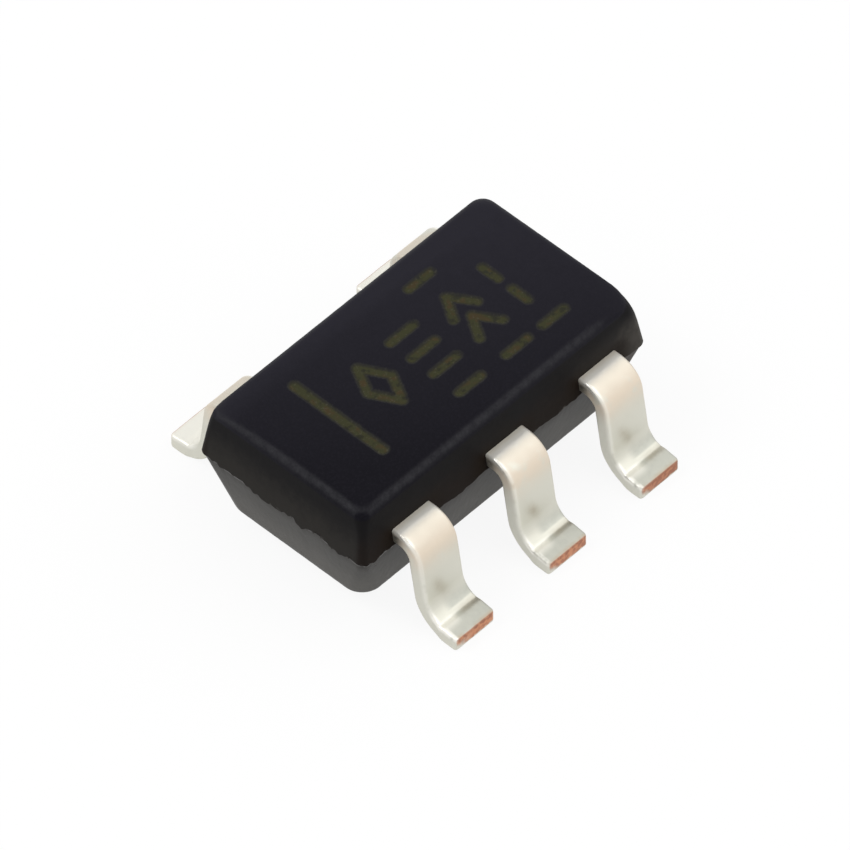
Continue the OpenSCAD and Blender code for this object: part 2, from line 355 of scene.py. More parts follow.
class GeometryGraph(Graph):
    """A geometry tree in millimetres with named inputs, which returns one mesh in metres."""

    def __init__(self, name: str) -> None:
        """Makes an empty tree.

        Args:
            name: The tree's name.
        """
        super().__init__(bpy.data.node_groups.new(name, "GeometryNodeTree"))
        self.tree.interface.new_socket("Geometry", in_out="INPUT", socket_type="NodeSocketGeometry")
        self.tree.interface.new_socket("Geometry", in_out="OUTPUT", socket_type="NodeSocketGeometry")
        self._entry = self.tree.nodes.new("NodeGroupInput")

    @property
    def given(self) -> Term:
        """The geometry that the tree is applied to."""
        return Term(self, self._entry.outputs[0])

    def inputs(self, values: Mapping[str, Any]) -> list[Term]:
        """Adds a named input for each value.

        Args:
            values: For each input's name, a value of the kind that it holds.

        Returns:
            The inputs in the same order, as terms.
        """
        terms = []
        for name, value in values.items():
            kind = f"NodeSocket{SOCKET_KINDS.get(type(value), 'Float')}"
            item = self.tree.interface.new_socket(name, in_out="INPUT", socket_type=kind)
            terms.append(Term(self, self._find(self._entry.outputs, item.identifier)))
        return terms

    def place(self) -> Term:
        """The position of each point."""
        return self.add("GeometryNodeInputPosition")

    def choose(self, kind: str, choices: Sequence[Any]) -> Term:
        """Gives each point the value at its index in a list.

        Args:
            kind: The values' data type.
            choices: The values in order.

        Returns:
            The value of each point.
        """
        node = self.tree.nodes.new("GeometryNodeIndexSwitch")
        node.data_type = kind
        while len(node.index_switch_items) < len(choices):
            node.index_switch_items.new()
        self.feed(node.inputs[0], self.add("GeometryNodeInputIndex"))
        for place, value in enumerate(choices, start=1):
            self.feed(node.inputs[place], value)
        return Term(self, node.outputs[0])

    def row(self, count: int) -> Term:
        """A curve of that many points, which are still to be placed."""
        line = self.add("GeometryNodeCurvePrimitiveLine", {}, {"End": (0.0, 1.0, 0.0)})
        return self.add("GeometryNodeResampleCurve", {"mode": "COUNT"}, {"Curve": line, "Count": count})

    def sweep(self, path: Term, section: Term) -> Term:
        """Draws a section along a path, with closed ends."""
        sockets = {"Curve": path, "Profile Curve": section, "Fill Caps": True}
        return self.add("GeometryNodeCurveToMesh", {}, sockets)

    def move(self, geometry: Term, **sockets: Any) -> Term:
        """Sets a position or adds an offset to each point."""
        return self.add("GeometryNodeSetPosition", {}, {"Geometry": geometry, **sockets})

    def turned(self, geometry: Term, turn: Term, shift: Term) -> Term:
        """Turns a shape about Z and then shifts it."""
        sockets = {"Geometry": geometry, "Translation": shift, "Rotation": self.vector(0.0, 0.0, turn)}
        return self.add("GeometryNodeTransform", {}, sockets)

    def resample(self, curve: Term, length: Any) -> Term:
        """Spaces a curve's points evenly."""
        sockets = {"Curve": curve, "Length": length}
        return self.add("GeometryNodeResampleCurve", {"mode": "LENGTH"}, sockets)

    def fillet(self, curve: Term, radius: Any, count: int) -> Term:
        """Rounds a curve's corners, each with its own radius."""
        sockets = {"Curve": curve, "Radius": radius, "Count": count}
        return self.add("GeometryNodeFilletCurve", {"mode": "POLY"}, sockets)

    def keep(self, geometry: Term, **values: Any) -> Term:
        """Stores numbers on each point, for the material to read.

        Args:
            geometry: The mesh.
            **values: For each attribute's name, its number.

        Returns:
            The mesh with the attributes.
        """
        for name, value in values.items():
            sockets = {"Geometry": geometry, "Name": name, "Value": value}
            geometry = self.add("GeometryNodeStoreNamedAttribute", {"data_type": "FLOAT"}, sockets)
        return geometry

    def read(self, name: str) -> Term:
        """A number that was stored on each point."""
        settings = {"data_type": "FLOAT"}
        return self.add("GeometryNodeInputNamedAttribute", settings, {"Name": name}, "Attribute")

    def united(self, *solids: Term) -> Term:
        """Joins closed solids that overlap into one."""
        settings = {"operation": "UNION", "solver": "MANIFOLD"}
        return self.add("GeometryNodeMeshBoolean", settings, {"Mesh 2": list(solids)})

    def finish(self, geometry: Term, material: Term) -> bpy.types.NodeTree:
        """Ends the tree in metres, with instances made real and the material set.

        Args:
            geometry: The finished shape in millimetres.
            material: The material input.

        Returns:
            The tree.
        """
        metres = self.add("GeometryNodeTransform", {}, {"Geometry": geometry, "Scale": (MM,) * 3})
        real = self.add("GeometryNodeRealizeInstances", {}, {"Geometry": metres})
        dressed = self.add("GeometryNodeSetMaterial", {}, {"Geometry": real, "Material": material})
        end = self.tree.nodes.new("NodeGroupOutput")
        self.feed(end.inputs[0], dressed)
        return self.tree


@dataclass(frozen=True)
class Finish:
    """A material being built: its graph and its principled shader."""

    material: bpy.types.Material
    graph: Graph
    shader: bpy.types.ShaderNode

    @classmethod
    def start(cls, name: str, fixed: Mapping[str, Any]) -> "Finish":
        """Starts a material.

        Args:
            name: Its name.
            fixed: Values of the shader's own sockets that are the same all over.

        Returns:
            The material with its principled shader.
        """
        material = bpy.data.materials.new(name)
        material.use_nodes = True
        started = cls(material, Graph(material.node_tree), material.node_tree.nodes["Principled BSDF"])
        started.set(fixed)
        return started

    def set(self, sockets: Mapping[str, Any]) -> bpy.types.Material:
        """Sets or links several of the shader's sockets.

        Args:
            sockets: For each socket's name, its value or link.

        Returns:
            The material.
        """
        for name, value in sockets.items():
            self.graph.feed(self.shader.inputs[name], value)
        return self.material

    def place(self) -> Term:
        """Object coordinates in millimetres."""
        return self.graph.add("ShaderNodeTexCoord", {}, {}, "Object") * (1 / MM)

    def attribute(self, name: str) -> Term:
        """A number that the mesh carries on its points."""
        return self.graph.add("ShaderNodeAttribute", {"attribute_name": name}, {}, "Fac")

    def bump(self, height: Term, size: float, strength: float) -> Term:
        """A normal that a height bends.

        Args:
            height: The height, from 0 to about 1.
            size: What a height of 1 stands for, in millimetres.
            strength: Share of the effect.

        Returns:
            The normal.
        """
        sockets = {"Height": height, "Distance": size * MM, "Strength": strength}
        return self.graph.add("ShaderNodeBump", {}, sockets)


def scene_object(name: str, data: bpy.types.ID) -> bpy.types.Object:
    """Makes an object at the origin and puts it in the scene.

    Args:
        name: The object's name.
        data: Its mesh, light or camera.

    Returns:
        The object.
    """
    made = bpy.data.objects.new(name, data)
    bpy.context.scene.collection.objects.link(made)
    return made


def polygon_mesh(name: str, points: Any, faces: Sequence[Sequence[int]], edges: Any = ()) -> bpy.types.Mesh:
    """Makes a mesh from points, faces and, for a guide, bare edges.

    Args:
        name: The mesh's name.
        points: Its points, in the unit that is wanted.
        faces: For each face, the indices of its points in order.
        edges: For each bare edge, the indices of its two points.

    Returns:
        The mesh.
    """
    mesh = bpy.data.meshes.new(name)
    mesh.from_pydata(np.asarray(points, float).tolist(), list(edges), [list(face) for face in faces])
    mesh.update()
    return mesh


def guide_lines(name: str, lines: Sequence[Sequence[tuple[float, float, float]]]) -> bpy.types.Object:
    """Makes an object of bare edges that a geometry tree measures from.

    Args:
        name: The object's name.
        lines: Open lines, each a row of points in millimetres.

    Returns:
        The guide, to be removed after use.
    """
    points = [point for line in lines for point in line]
    edges = []
    start = 0
    for line in lines:
        edges += [(start + i, start + i + 1) for i in range(len(line) - 1)]
        start += len(line)
    return scene_object(name, polygon_mesh(name, points, [], edges))


@contextmanager
def opened(mesh: bpy.types.Mesh) -> Iterator[bmesh.types.BMesh]:
    """Opens a mesh for editing and writes it back afterwards.

    Args:
        mesh: The mesh.

    Yields:
        Its editable form.
    """
    shell = bmesh.new()
    shell.from_mesh(mesh)
    yield shell
    shell.to_mesh(mesh)
    shell.free()


def prism(
    name: str, outline: Sequence[Point], low: float, high: float, holes: Any = ()
) -> bpy.types.Mesh:
    """Makes a flat plate.

    Args:
        name: The mesh's name.
        outline: Corners of the plate, anticlockwise.
        low: Height of its underside.
        high: Height of its top.
        holes: Outlines of its holes.

    Returns:
        The closed plate.
    """
    loops = [outline, *holes]
    flat = [Vector((x, y, 0.0)) for loop in loops for x, y in loop]
    triangles = tessellate_polygon([[Vector((x, y, 0.0)) for x, y in loop] for loop in loops])
    count = len(flat)
    points = [(p.x, p.y, z) for z in (low, high) for p in flat]
    faces = [tuple(triangle) for triangle in triangles]
    faces += [tuple(i + count for i in reversed(triangle)) for triangle in triangles]
    start = 0
    for loop in loops:
        size = len(loop)
        for i in range(size):
            a, b = start + i, start + (i + 1) % size
            faces.append((a, b, b + count, a + count))
        start += size
    mesh = polygon_mesh(name, points, faces)
    with opened(mesh) as shell:
        bmesh.ops.recalc_face_normals(shell, faces=shell.faces)
    return mesh


def circle(x: float, y: float, diameter: float, sides: int = 48) -> list[Point]:
    """Points of a circle, anticlockwise."""
    turns = [2 * math.pi * i / sides for i in range(sides)]
    return [(x + diameter / 2 * math.cos(t), y + diameter / 2 * math.sin(t)) for t in turns]


def face_outwards(mesh: bpy.types.Mesh) -> None:
    """Turns a closed mesh's faces outwards.

    Args:
        mesh: The mesh, whose faces all point outwards or all inwards.
    """
    with opened(mesh) as shell:
        if shell.calc_volume(signed=True) < 0:
            bmesh.ops.reverse_faces(shell, faces=shell.faces)


def soften(mesh: bpy.types.Mesh, sharp_angle: float = math.radians(38.0)) -> None:
    """Shades a mesh smoothly, apart from its sharp edges.

    Args:
        mesh: The mesh.
        sharp_angle: Angle between faces, in radians, beyond which an edge stays sharp.
    """
    with opened(mesh) as shell:
        for face in shell.faces:
            face.smooth = True
        for edge in shell.edges:
            edge.smooth = edge.is_manifold and edge.calc_face_angle(0.0) < sharp_angle


def settle(piece: bpy.types.Object) -> None:
    """Turns a piece's modifiers into a plain mesh with its faces outwards.

    Args:
        piece: The piece, which keeps no modifier.
    """
    depsgraph = bpy.context.evaluated_depsgraph_get()
    result = bpy.data.meshes.new_from_object(piece.evaluated_get(depsgraph))
    piece.modifiers.clear()
    piece.data = result
    result.name = piece.name
    face_outwards(result)


def run_tree(
    name: str,
    source: bpy.types.Mesh,
    tree: bpy.types.NodeTree,
    values: Mapping[str, Any],
) -> bpy.types.Object:
    """Applies a geometry tree and keeps its result as a plain mesh.

    Args:
        name: Name of the piece.
        source: The mesh that the tree is given.
        tree: The geometry tree.
        values: Values of its named inputs.

    Returns:
        The piece, with no modifier left on it.
    """
    piece = scene_object(name, source)
    modifier = piece.modifiers.new("shape", "NODES")
    modifier.node_group = tree
    for item in tree.interface.items_tree:
        if item.in_out == "INPUT" and item.name in values:
            modifier[item.identifier] = values[item.name]
    settle(piece)
    soften(piece.data)
    return piece


def clear_slivers(mesh: bpy.types.Mesh, reach: float = 0.0003 * MM) -> None:
    """Closes up a cut mesh's slivers and splits its many-sided faces.

    Args:
        mesh: The closed mesh.
        reach: Distance, in metres, up to which points are merged.
    """
    with opened(mesh) as shell:
        bmesh.ops.dissolve_degenerate(shell, edges=shell.edges, dist=reach)
        bmesh.ops.triangulate(shell, faces=[face for face in shell.faces if len(face.verts) > 4])


def combine(piece: bpy.types.Object, others: Sequence[bpy.types.Object], cut: Cut) -> None:
    """Adds solids to a piece or cuts them out of it, leaving one plain mesh.

    Args:
        piece: The piece that is changed.
        others: The closed solids.
        cut: What is done with them.
    """
    for other in others:
        modifier = piece.modifiers.new(other.name, "BOOLEAN")
        modifier.operation = cut.value
        modifier.solver = "MANIFOLD"
        modifier.object = other
    settle(piece)
    clear_slivers(piece.data)


@dataclass(frozen=True)
class LeadPlace:
    """Where one lead stands."""

    node: str
    number: int
    x: float
    side: Side

    @property
    def turn(self) -> float:
        """Angle about Z that brings a lead drawn towards +Y to its own side."""
        return 0.0 if self.side is Side.FAR else math.pi

    @property
    def flare(self) -> int:
        """Sign of the drawn lead's X on which its finger widens, or 0 for the middle lead."""
        return int(np.sign(round(self.x, 6))) * self.side.value


@dataclass(frozen=True)
class PackageSizes:
    """Sizes of the package in millimetres, read from the frame."""

    half_l: float
    half_w: float
    top: float
    standoff: float
    frame_top: float
    tip_y: float
    lead_w: float
    finger_end: float
    flare_x: float
    paddle_x: float
    stub_y: float
    die_x: float
    die_y: float
    die_top: float
    leads: tuple[LeadPlace, ...]

    @classmethod
    def from_frame(cls, record: Mapping[str, Any]) -> "PackageSizes":
        """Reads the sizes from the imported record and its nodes.

        Args:
            record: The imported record.

        Returns:
            The sizes.
        """
        case_low, case_high = (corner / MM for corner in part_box("moulded_case"))
        lead_low, lead_high = (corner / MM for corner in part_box("lead_4"))
        _, paddle_high = (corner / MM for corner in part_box("lead_2_with_paddle"))
        _, die_high = (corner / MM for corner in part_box("die"))
        nodes = sorted(row["node"] for row in record["subparts"])
        leads = []
        for mount in record["mounts"]:
            if mount["name"].startswith("foot_"):
                number = int(mount["name"].removeprefix("foot_"))
                node = next(n for n in nodes if n.startswith(f"lead_{number}"))
                x, y, _ = (value / MM for value in mount["pos_m"])
                leads.append(LeadPlace(node, number, x, Side.NEAR if y < 0 else Side.FAR))
        pitch = max(lead.x for lead in leads)
        return cls(
            half_l=case_high.x,
            half_w=case_high.y,
            top=case_high.z,
            standoff=case_low.z,
            frame_top=lead_high.z,
            tip_y=lead_high.y,
            lead_w=2 * (pitch - lead_low.x - FOOT_SPREAD),
            finger_end=lead_low.y,
            flare_x=lead_high.x - pitch,
            paddle_x=paddle_high.x,
            stub_y=paddle_high.y,
            die_x=die_high.x,
            die_y=die_high.y,
            die_top=die_high.z,
            leads=tuple(leads),
        )


@dataclass(frozen=True)
class MouldCompound:
    """Black epoxy: matt and finely grained above, smoother below, with resin bleed and laser marks."""

    black: Colour = (0.0056, 0.0052, 0.0078)
    dust: Colour = (0.0115, 0.0105, 0.015)
    # A painted sheen that lightens the top towards +X and +Y
    top_sheen: Colour = (0.0205, 0.0195, 0.0265)
    # Painted shade and light on the upper walls: darkest just under the top edge, lighter lower down, and
    # the long sides (flanks) darker than the ends
    shaded: Colour = (0.0078, 0.0073, 0.0078)
    wall: Colour = (0.021, 0.019, 0.017)
    shaded_flank: Colour = (0.0128, 0.0096, 0.0082)
    scuffed: Colour = (0.056, 0.051, 0.045)
    lower: Colour = (0.043, 0.041, 0.0375)
    # Painted light from the floor, lightening the lower half towards its bottom
    floor_light: Colour = (0.076, 0.072, 0.065)
    # Painted shade on the lower half just below the parting line's ledge
    ledge_shade: Colour = (0.0175, 0.015, 0.0125)
    # Darker brown on the lower half at the near end at +X
    browned: Colour = (0.027, 0.0185, 0.0125)
    # A painted highlight on the rounded edge round the top
    worn: Colour = (0.031, 0.0305, 0.0345)
    flash: Colour = (0.12, 0.115, 0.105)
    scorched: Colour = (0.039, 0.0395, 0.02)
    rim: Colour = (0.031, 0.0305, 0.021)
    burnt: Colour = (0.056, 0.036, 0.019)
    ash: Colour = (0.074, 0.07, 0.05)
    resin: Colour = (0.0125, 0.0082, 0.0052)
    roughness: float = 0.5
    polish: float = 0.2
    specular: float = 0.04
    scuff_x: float = 1.1
    grain_scale: float = 55.0
    patch_scale: float = 16.0
    blotch_scale: float = 7.0

    def material(self) -> bpy.types.Material:
        """Builds the material from the attributes that the body's mesh carries.

        Returns:
            The material.
        """
        finish = Finish.start("mould_compound", {"Specular IOR Level": self.specular})
        graph = finish.graph
        place = finish.place()
        grain = graph.noise(place, self.grain_scale, 3.0)
        patch = graph.noise(place, self.patch_scale, 3.0)
        blotch = graph.noise(place, self.blotch_scale)
        names = ("laser", "bleed", "edge", "wall", "drop", "core", "seam")
        laser, bleed, edge, wall, drop, core, seam = map(finish.attribute, names)
        along, across, _ = place.axes()
        side = across.size().rise(0.69, 0.75)

        # The walls of the upper half: painted shade just under the top edge, painted light lower down
        # towards the parting line, the long sides painted darker than the ends, and scuffed at the end at
        # +X
        end = along + (patch - 0.5) * 0.25
        scuff_x = self.scuff_x
        scuff = end.rise(scuff_x - 0.6, scuff_x) * 0.2 + end.rise(scuff_x, scuff_x + 0.35) * 0.8
        upright = graph.paint(
            self.shaded,
            ((wall + (patch - 0.5) * 0.5).rise(0.1, 0.9), graph.mix(side, self.wall, self.shaded_flank)),
            (scuff * wall.rise(0.05, 0.5), self.scuffed),
        )

        # The lower half: painted shade in the crease below the parting line, painted light from the floor
        # towards its bottom, and darker brown at the near end at +X
        under = graph.paint(
            self.ledge_shade,
            ((drop - side * 0.035 + (blotch - 0.5) * 0.05).rise(-0.01, 0.12), self.lower),
            ((drop + (blotch - 0.5) * 0.1).rise(0.1, 0.45), self.floor_light),
            (along.rise(scuff_x, scuff_x + 0.2) * across.rise(-0.3, -0.5), self.browned),
        )

        # The whole skin, whose top has a painted sheen that grows lighter towards +X and +Y
        sheen_share = (along * 0.24 + across * 0.4 + 0.46).at_least(0.0) + across.rise(0.46, 0.7) * 0.4
        below = drop.rise(0.0, 0.004)
        epoxy = graph.paint(
            self.black,
            (grain.rise(0.4, 0.8) * 0.6, self.dust),
            ((sheen_share * ((patch - 0.5) * 0.4 + 1.0)).at_most(1.0) * 0.8, self.top_sheen),
            ((wall * 50.0).at_most(1.0), upright),
            (below, under),
            # A painted highlight on the rounded edge round the top
            (edge * ((patch - 0.5) * 1.2 + (grain - 0.5) * 0.8 + 0.7), self.worn),
            (seam * patch.rise(0.56, 0.72) * 0.7, self.flash),
        )
        browned = graph.mix(bleed * ((grain - 0.5) * 0.8 + 0.7), epoxy, self.resin)

        # The laser marks, worn through in patches
        mark = graph.paint(
            self.rim,
            (core.rise(0.1, 0.9), self.scorched),
            (core * (blotch * 0.5 + patch * 0.5).rise(0.49, 0.6) * 0.65, self.burnt),
            (grain.rise(0.55, 0.72) * 0.5, self.ash),
            (patch.rise(0.46, 0.34) * 0.45, epoxy),
        )
        height = grain * (laser * 1.5 + 1.0)
        return finish.set(
            {
                "Base Color": graph.mix(laser, browned, mark),
                "Roughness": (blotch - 0.5) * 0.12 + laser * 0.3 - below * self.polish + self.roughness,
                "Normal": finish.bump(height, 0.002, 0.25),
            }
        )


@dataclass(frozen=True)
class TinPlate:
    """Matt tin plate over copper alloy: burnished edges with painted highlights on them and on the bends,
    painted shade in the hollow above the crease, a greyed foot, and copper at the cut tip.
    """

    tin: Colour = (0.675, 0.665, 0.585)
    warm: Colour = (0.66, 0.585, 0.485)
    blush: Colour = (0.745, 0.65, 0.53)
    # Painted highlight on the burnished edges, the bends, the ledge at the wall and the foot
    bright: Colour = (0.93, 0.91, 0.84)
    # Painted shade in the hollow above the crease, and the grey of the foot
    shade_grey: Colour = (0.48, 0.485, 0.43)
    tarnish: Colour = (0.5, 0.41, 0.3)
    smudge: Colour = (0.38, 0.33, 0.24)
    copper: Colour = (0.61, 0.29, 0.165)
    oxide: Colour = (0.38, 0.17, 0.105)
    resin: Colour = (0.1, 0.098, 0.082)
    stub_y: float = 0.0
    stub_half_w: float = 0.2
    roughness: float = 0.5
    metallic: float = 0.62
    cloud_scale: float = 7.0
    streak_scale: float = 28.0
    grain_scale: float = 70.0

    def material(self) -> bpy.types.Material:
        """Builds the material from the attributes that each lead's mesh carries.

        Returns:
            The material.
        """
        finish = Finish.start("tin_plate", {"Metallic": self.metallic})
        graph = finish.graph
        place = finish.place()
        along, across, height = place.axes()
        cloud = graph.noise(place, self.cloud_scale, 3.0)
        streak = graph.noise(place, self.streak_scale)
        grain = graph.noise(place, self.grain_scale, 3.0)
        names = ("contact", "cut", "roll", "shine", "grey", "bled", "tip")
        contact, cut, roll, shine, grey, bled, tip = map(finish.attribute, names)

        # The plate: warmer over the shoulder, greyed on the foot with painted shade in the hollow above the
        # crease, a smudge with painted shade in the dent past the crease, and painted highlights where it
        # is burnished
        lit = graph.paint(
            self.tin,
            (
                cloud.rise(0.26, 0.5) * height.bell(0.725, 0.135),
                graph.mix(height.rise(0.78, 0.71), self.warm, self.blush),
            ),
            (grey * ((streak - 0.5) * 0.5 + 0.9), self.shade_grey),
            (bled * (streak * 0.8 + 0.45), self.resin),
            (tip * cloud.rise(0.3, 0.6), self.tarnish),
            ((contact * ((streak - 0.5) * 0.7 + 0.85)).at_most(1.0), self.smudge),
            # Painted highlights
            (roll, self.bright),
        )

        # Bare copper at the cut tips and at the cut end of the support bar
        stub = (along.size() < self.stub_half_w) * (across > self.stub_y - 0.003)
        cut = cut.at_least(stub)
        ragged = (streak - 0.5) * 0.05 + height
        dulled = ragged.rise(0.085, 0.115) * 0.6 + (streak * 0.6 + cloud * 0.4).rise(0.42, 0.6) * 0.8
        dulled = (dulled + along.rise(0.2, 0.9) * 0.45).at_most(1.0)
        sheared = graph.mix(dulled, self.copper, self.oxide)
        bare = cut * ragged.rise(0.02, 0.04)
        worn = (cloud - 0.5) * 0.22 + cut * 0.15
        return finish.set(
            {
                "Base Color": graph.mix(bare, lit, sheared),
                "Roughness": worn - roll * 0.12 - shine * 0.11 + self.roughness,
                "Normal": finish.bump(grain, 0.0015, 0.3),
            }
        )


@dataclass(frozen=True)
class DrawnGold:
    """Gold wire with fine draw marks, duller where the bonding tool squashed it."""

    gold: Colour = (0.9, 0.61, 0.24)
    pale: Colour = (0.95, 0.74, 0.4)
    roughness: float = 0.24

    def material(self) -> bpy.types.Material:
        """Builds the material, which reads the attribute "squashed".

        Returns:
            The material.
        """
        finish = Finish.start("drawn_gold", {"Metallic": 1.0})
        graph = finish.graph
        marks = graph.noise(finish.place(), 60.0)
        squashed = finish.attribute("squashed")
        return finish.set(
            {
                "Base Color": graph.mix(marks.rise(0.35, 0.7), self.gold, self.pale),
                "Roughness": (marks - 0.5) * 0.2 + squashed * 0.2 + self.roughness,
                "Normal": finish.bump(marks, 0.001, 0.25),
            }
        )


@dataclass(frozen=True)
class SilverAdhesive:
    """Grey adhesive full of fine silver flakes."""

    resin: Colour = (0.28, 0.28, 0.27)
    flake: Colour = (0.7, 0.7, 0.68)
    roughness: float = 0.45

    def material(self) -> bpy.types.Material:
        """Builds the material from cells that stand for the flakes.

        Returns:
            The material.
        """
        finish = Finish.start("silver_adhesive", {})
        graph = finish.graph
        place = finish.place()
        cells = {"Vector": place, "Scale": 70.0}
        lot, tilt, _ = graph.add("ShaderNodeTexVoronoi", {}, cells, "Color").axes()
        shown = lot.rise(0.3, 0.8) * graph.noise(place, 12.0).rise(0.3, 0.6)
        return finish.set(
            {
                "Base Color": graph.mix(shown, self.resin, self.flake),
                "Metallic": shown * 0.8,
                "Roughness": self.roughness - tilt * 0.2,
                "Normal": finish.bump(tilt, 0.003, 0.5),
            }
        )


@dataclass(frozen=True)
class PatternedSilicon:
    """The die: sawn grey sides under a polished top with circuit blocks, tracks and bond pads."""

    top: float
    half_x: float
    half_y: float
    pad_inset: float
    pad_step: float
    sawn: Colour = (0.1, 0.105, 0.12)
    block: Colour = (0.15, 0.1, 0.17)
    plain: Colour = (0.06, 0.1, 0.11)
    track: Colour = (0.42, 0.4, 0.34)
    pad: Colour = (0.78, 0.78, 0.8)
    pad_w: float = 0.1
    street: float = 0.025

    def material(self) -> bpy.types.Material:
        """Builds the material, whose pads lie under the balls of the bond wires.

        Returns:
            The material.
        """
        finish = Finish.start("patterned_silicon", {})
        graph = finish.graph
        place = finish.place()
        x, y, z = place.axes()
        aloft = z > self.top - 0.002
        cells = {"Vector": graph.vector(x, y, 0.0), "Scale": 7.0}
        settings = {"distance": "CHEBYCHEV"}
        lot, kind, _ = graph.add("ShaderNodeTexVoronoi", settings, cells, "Color").axes()
        across = kind > 0.5
        lines = ((y - x) * across + x) * 330.0
        tracks = lines.sine().rise(0.2, 0.7) * (lot > 0.35)
        pads = self._pads(x, y)
        inside = (x.size() < self.half_x - self.street) * (y.size() < self.half_y - self.street)
        circuit = graph.paint(self.plain, (lot, self.block), (tracks * 0.6, self.track))
        layout = graph.paint(self.sawn, (inside, circuit), (pads, self.pad))
        sawing = graph.noise(graph.vector(x * 8.0, y * 8.0, z * 150.0), 1.0, 3.0)
        return finish.set(
            {
                "Base Color": graph.mix(aloft, self.sawn, layout),
                "Metallic": aloft * (pads * 0.6 + 0.3),
                "Roughness": sawing * 0.3 * (1.0 - aloft) + aloft * -0.15 + 0.35,
                "Normal": finish.bump(sawing * (1.0 - aloft) + tracks * aloft, 0.001, 0.4),
            }
        )

    def _pads(self, x: Term, y: Term) -> Term:
        """Marks the square bond pads.

        Args:
            x: Place along the die, in millimetres.
            y: Place across it.

        Returns:
            1 on a pad, else 0.
        """
        far_x, far_y = self.half_x - self.pad_inset, self.half_y - self.pad_inset
        centred = [
            (x.size() - far_x, y.size() - far_y),
            (x + far_x, y.size() - (far_y - self.pad_step)),
            (x.size() - self.pad_step / 2, y + far_y),
        ]
        pads = [(a.size().at_least(b.size()) < self.pad_w / 2) for a, b in centred]
        return pads[0].at_least(pads[1]).at_least(pads[2])


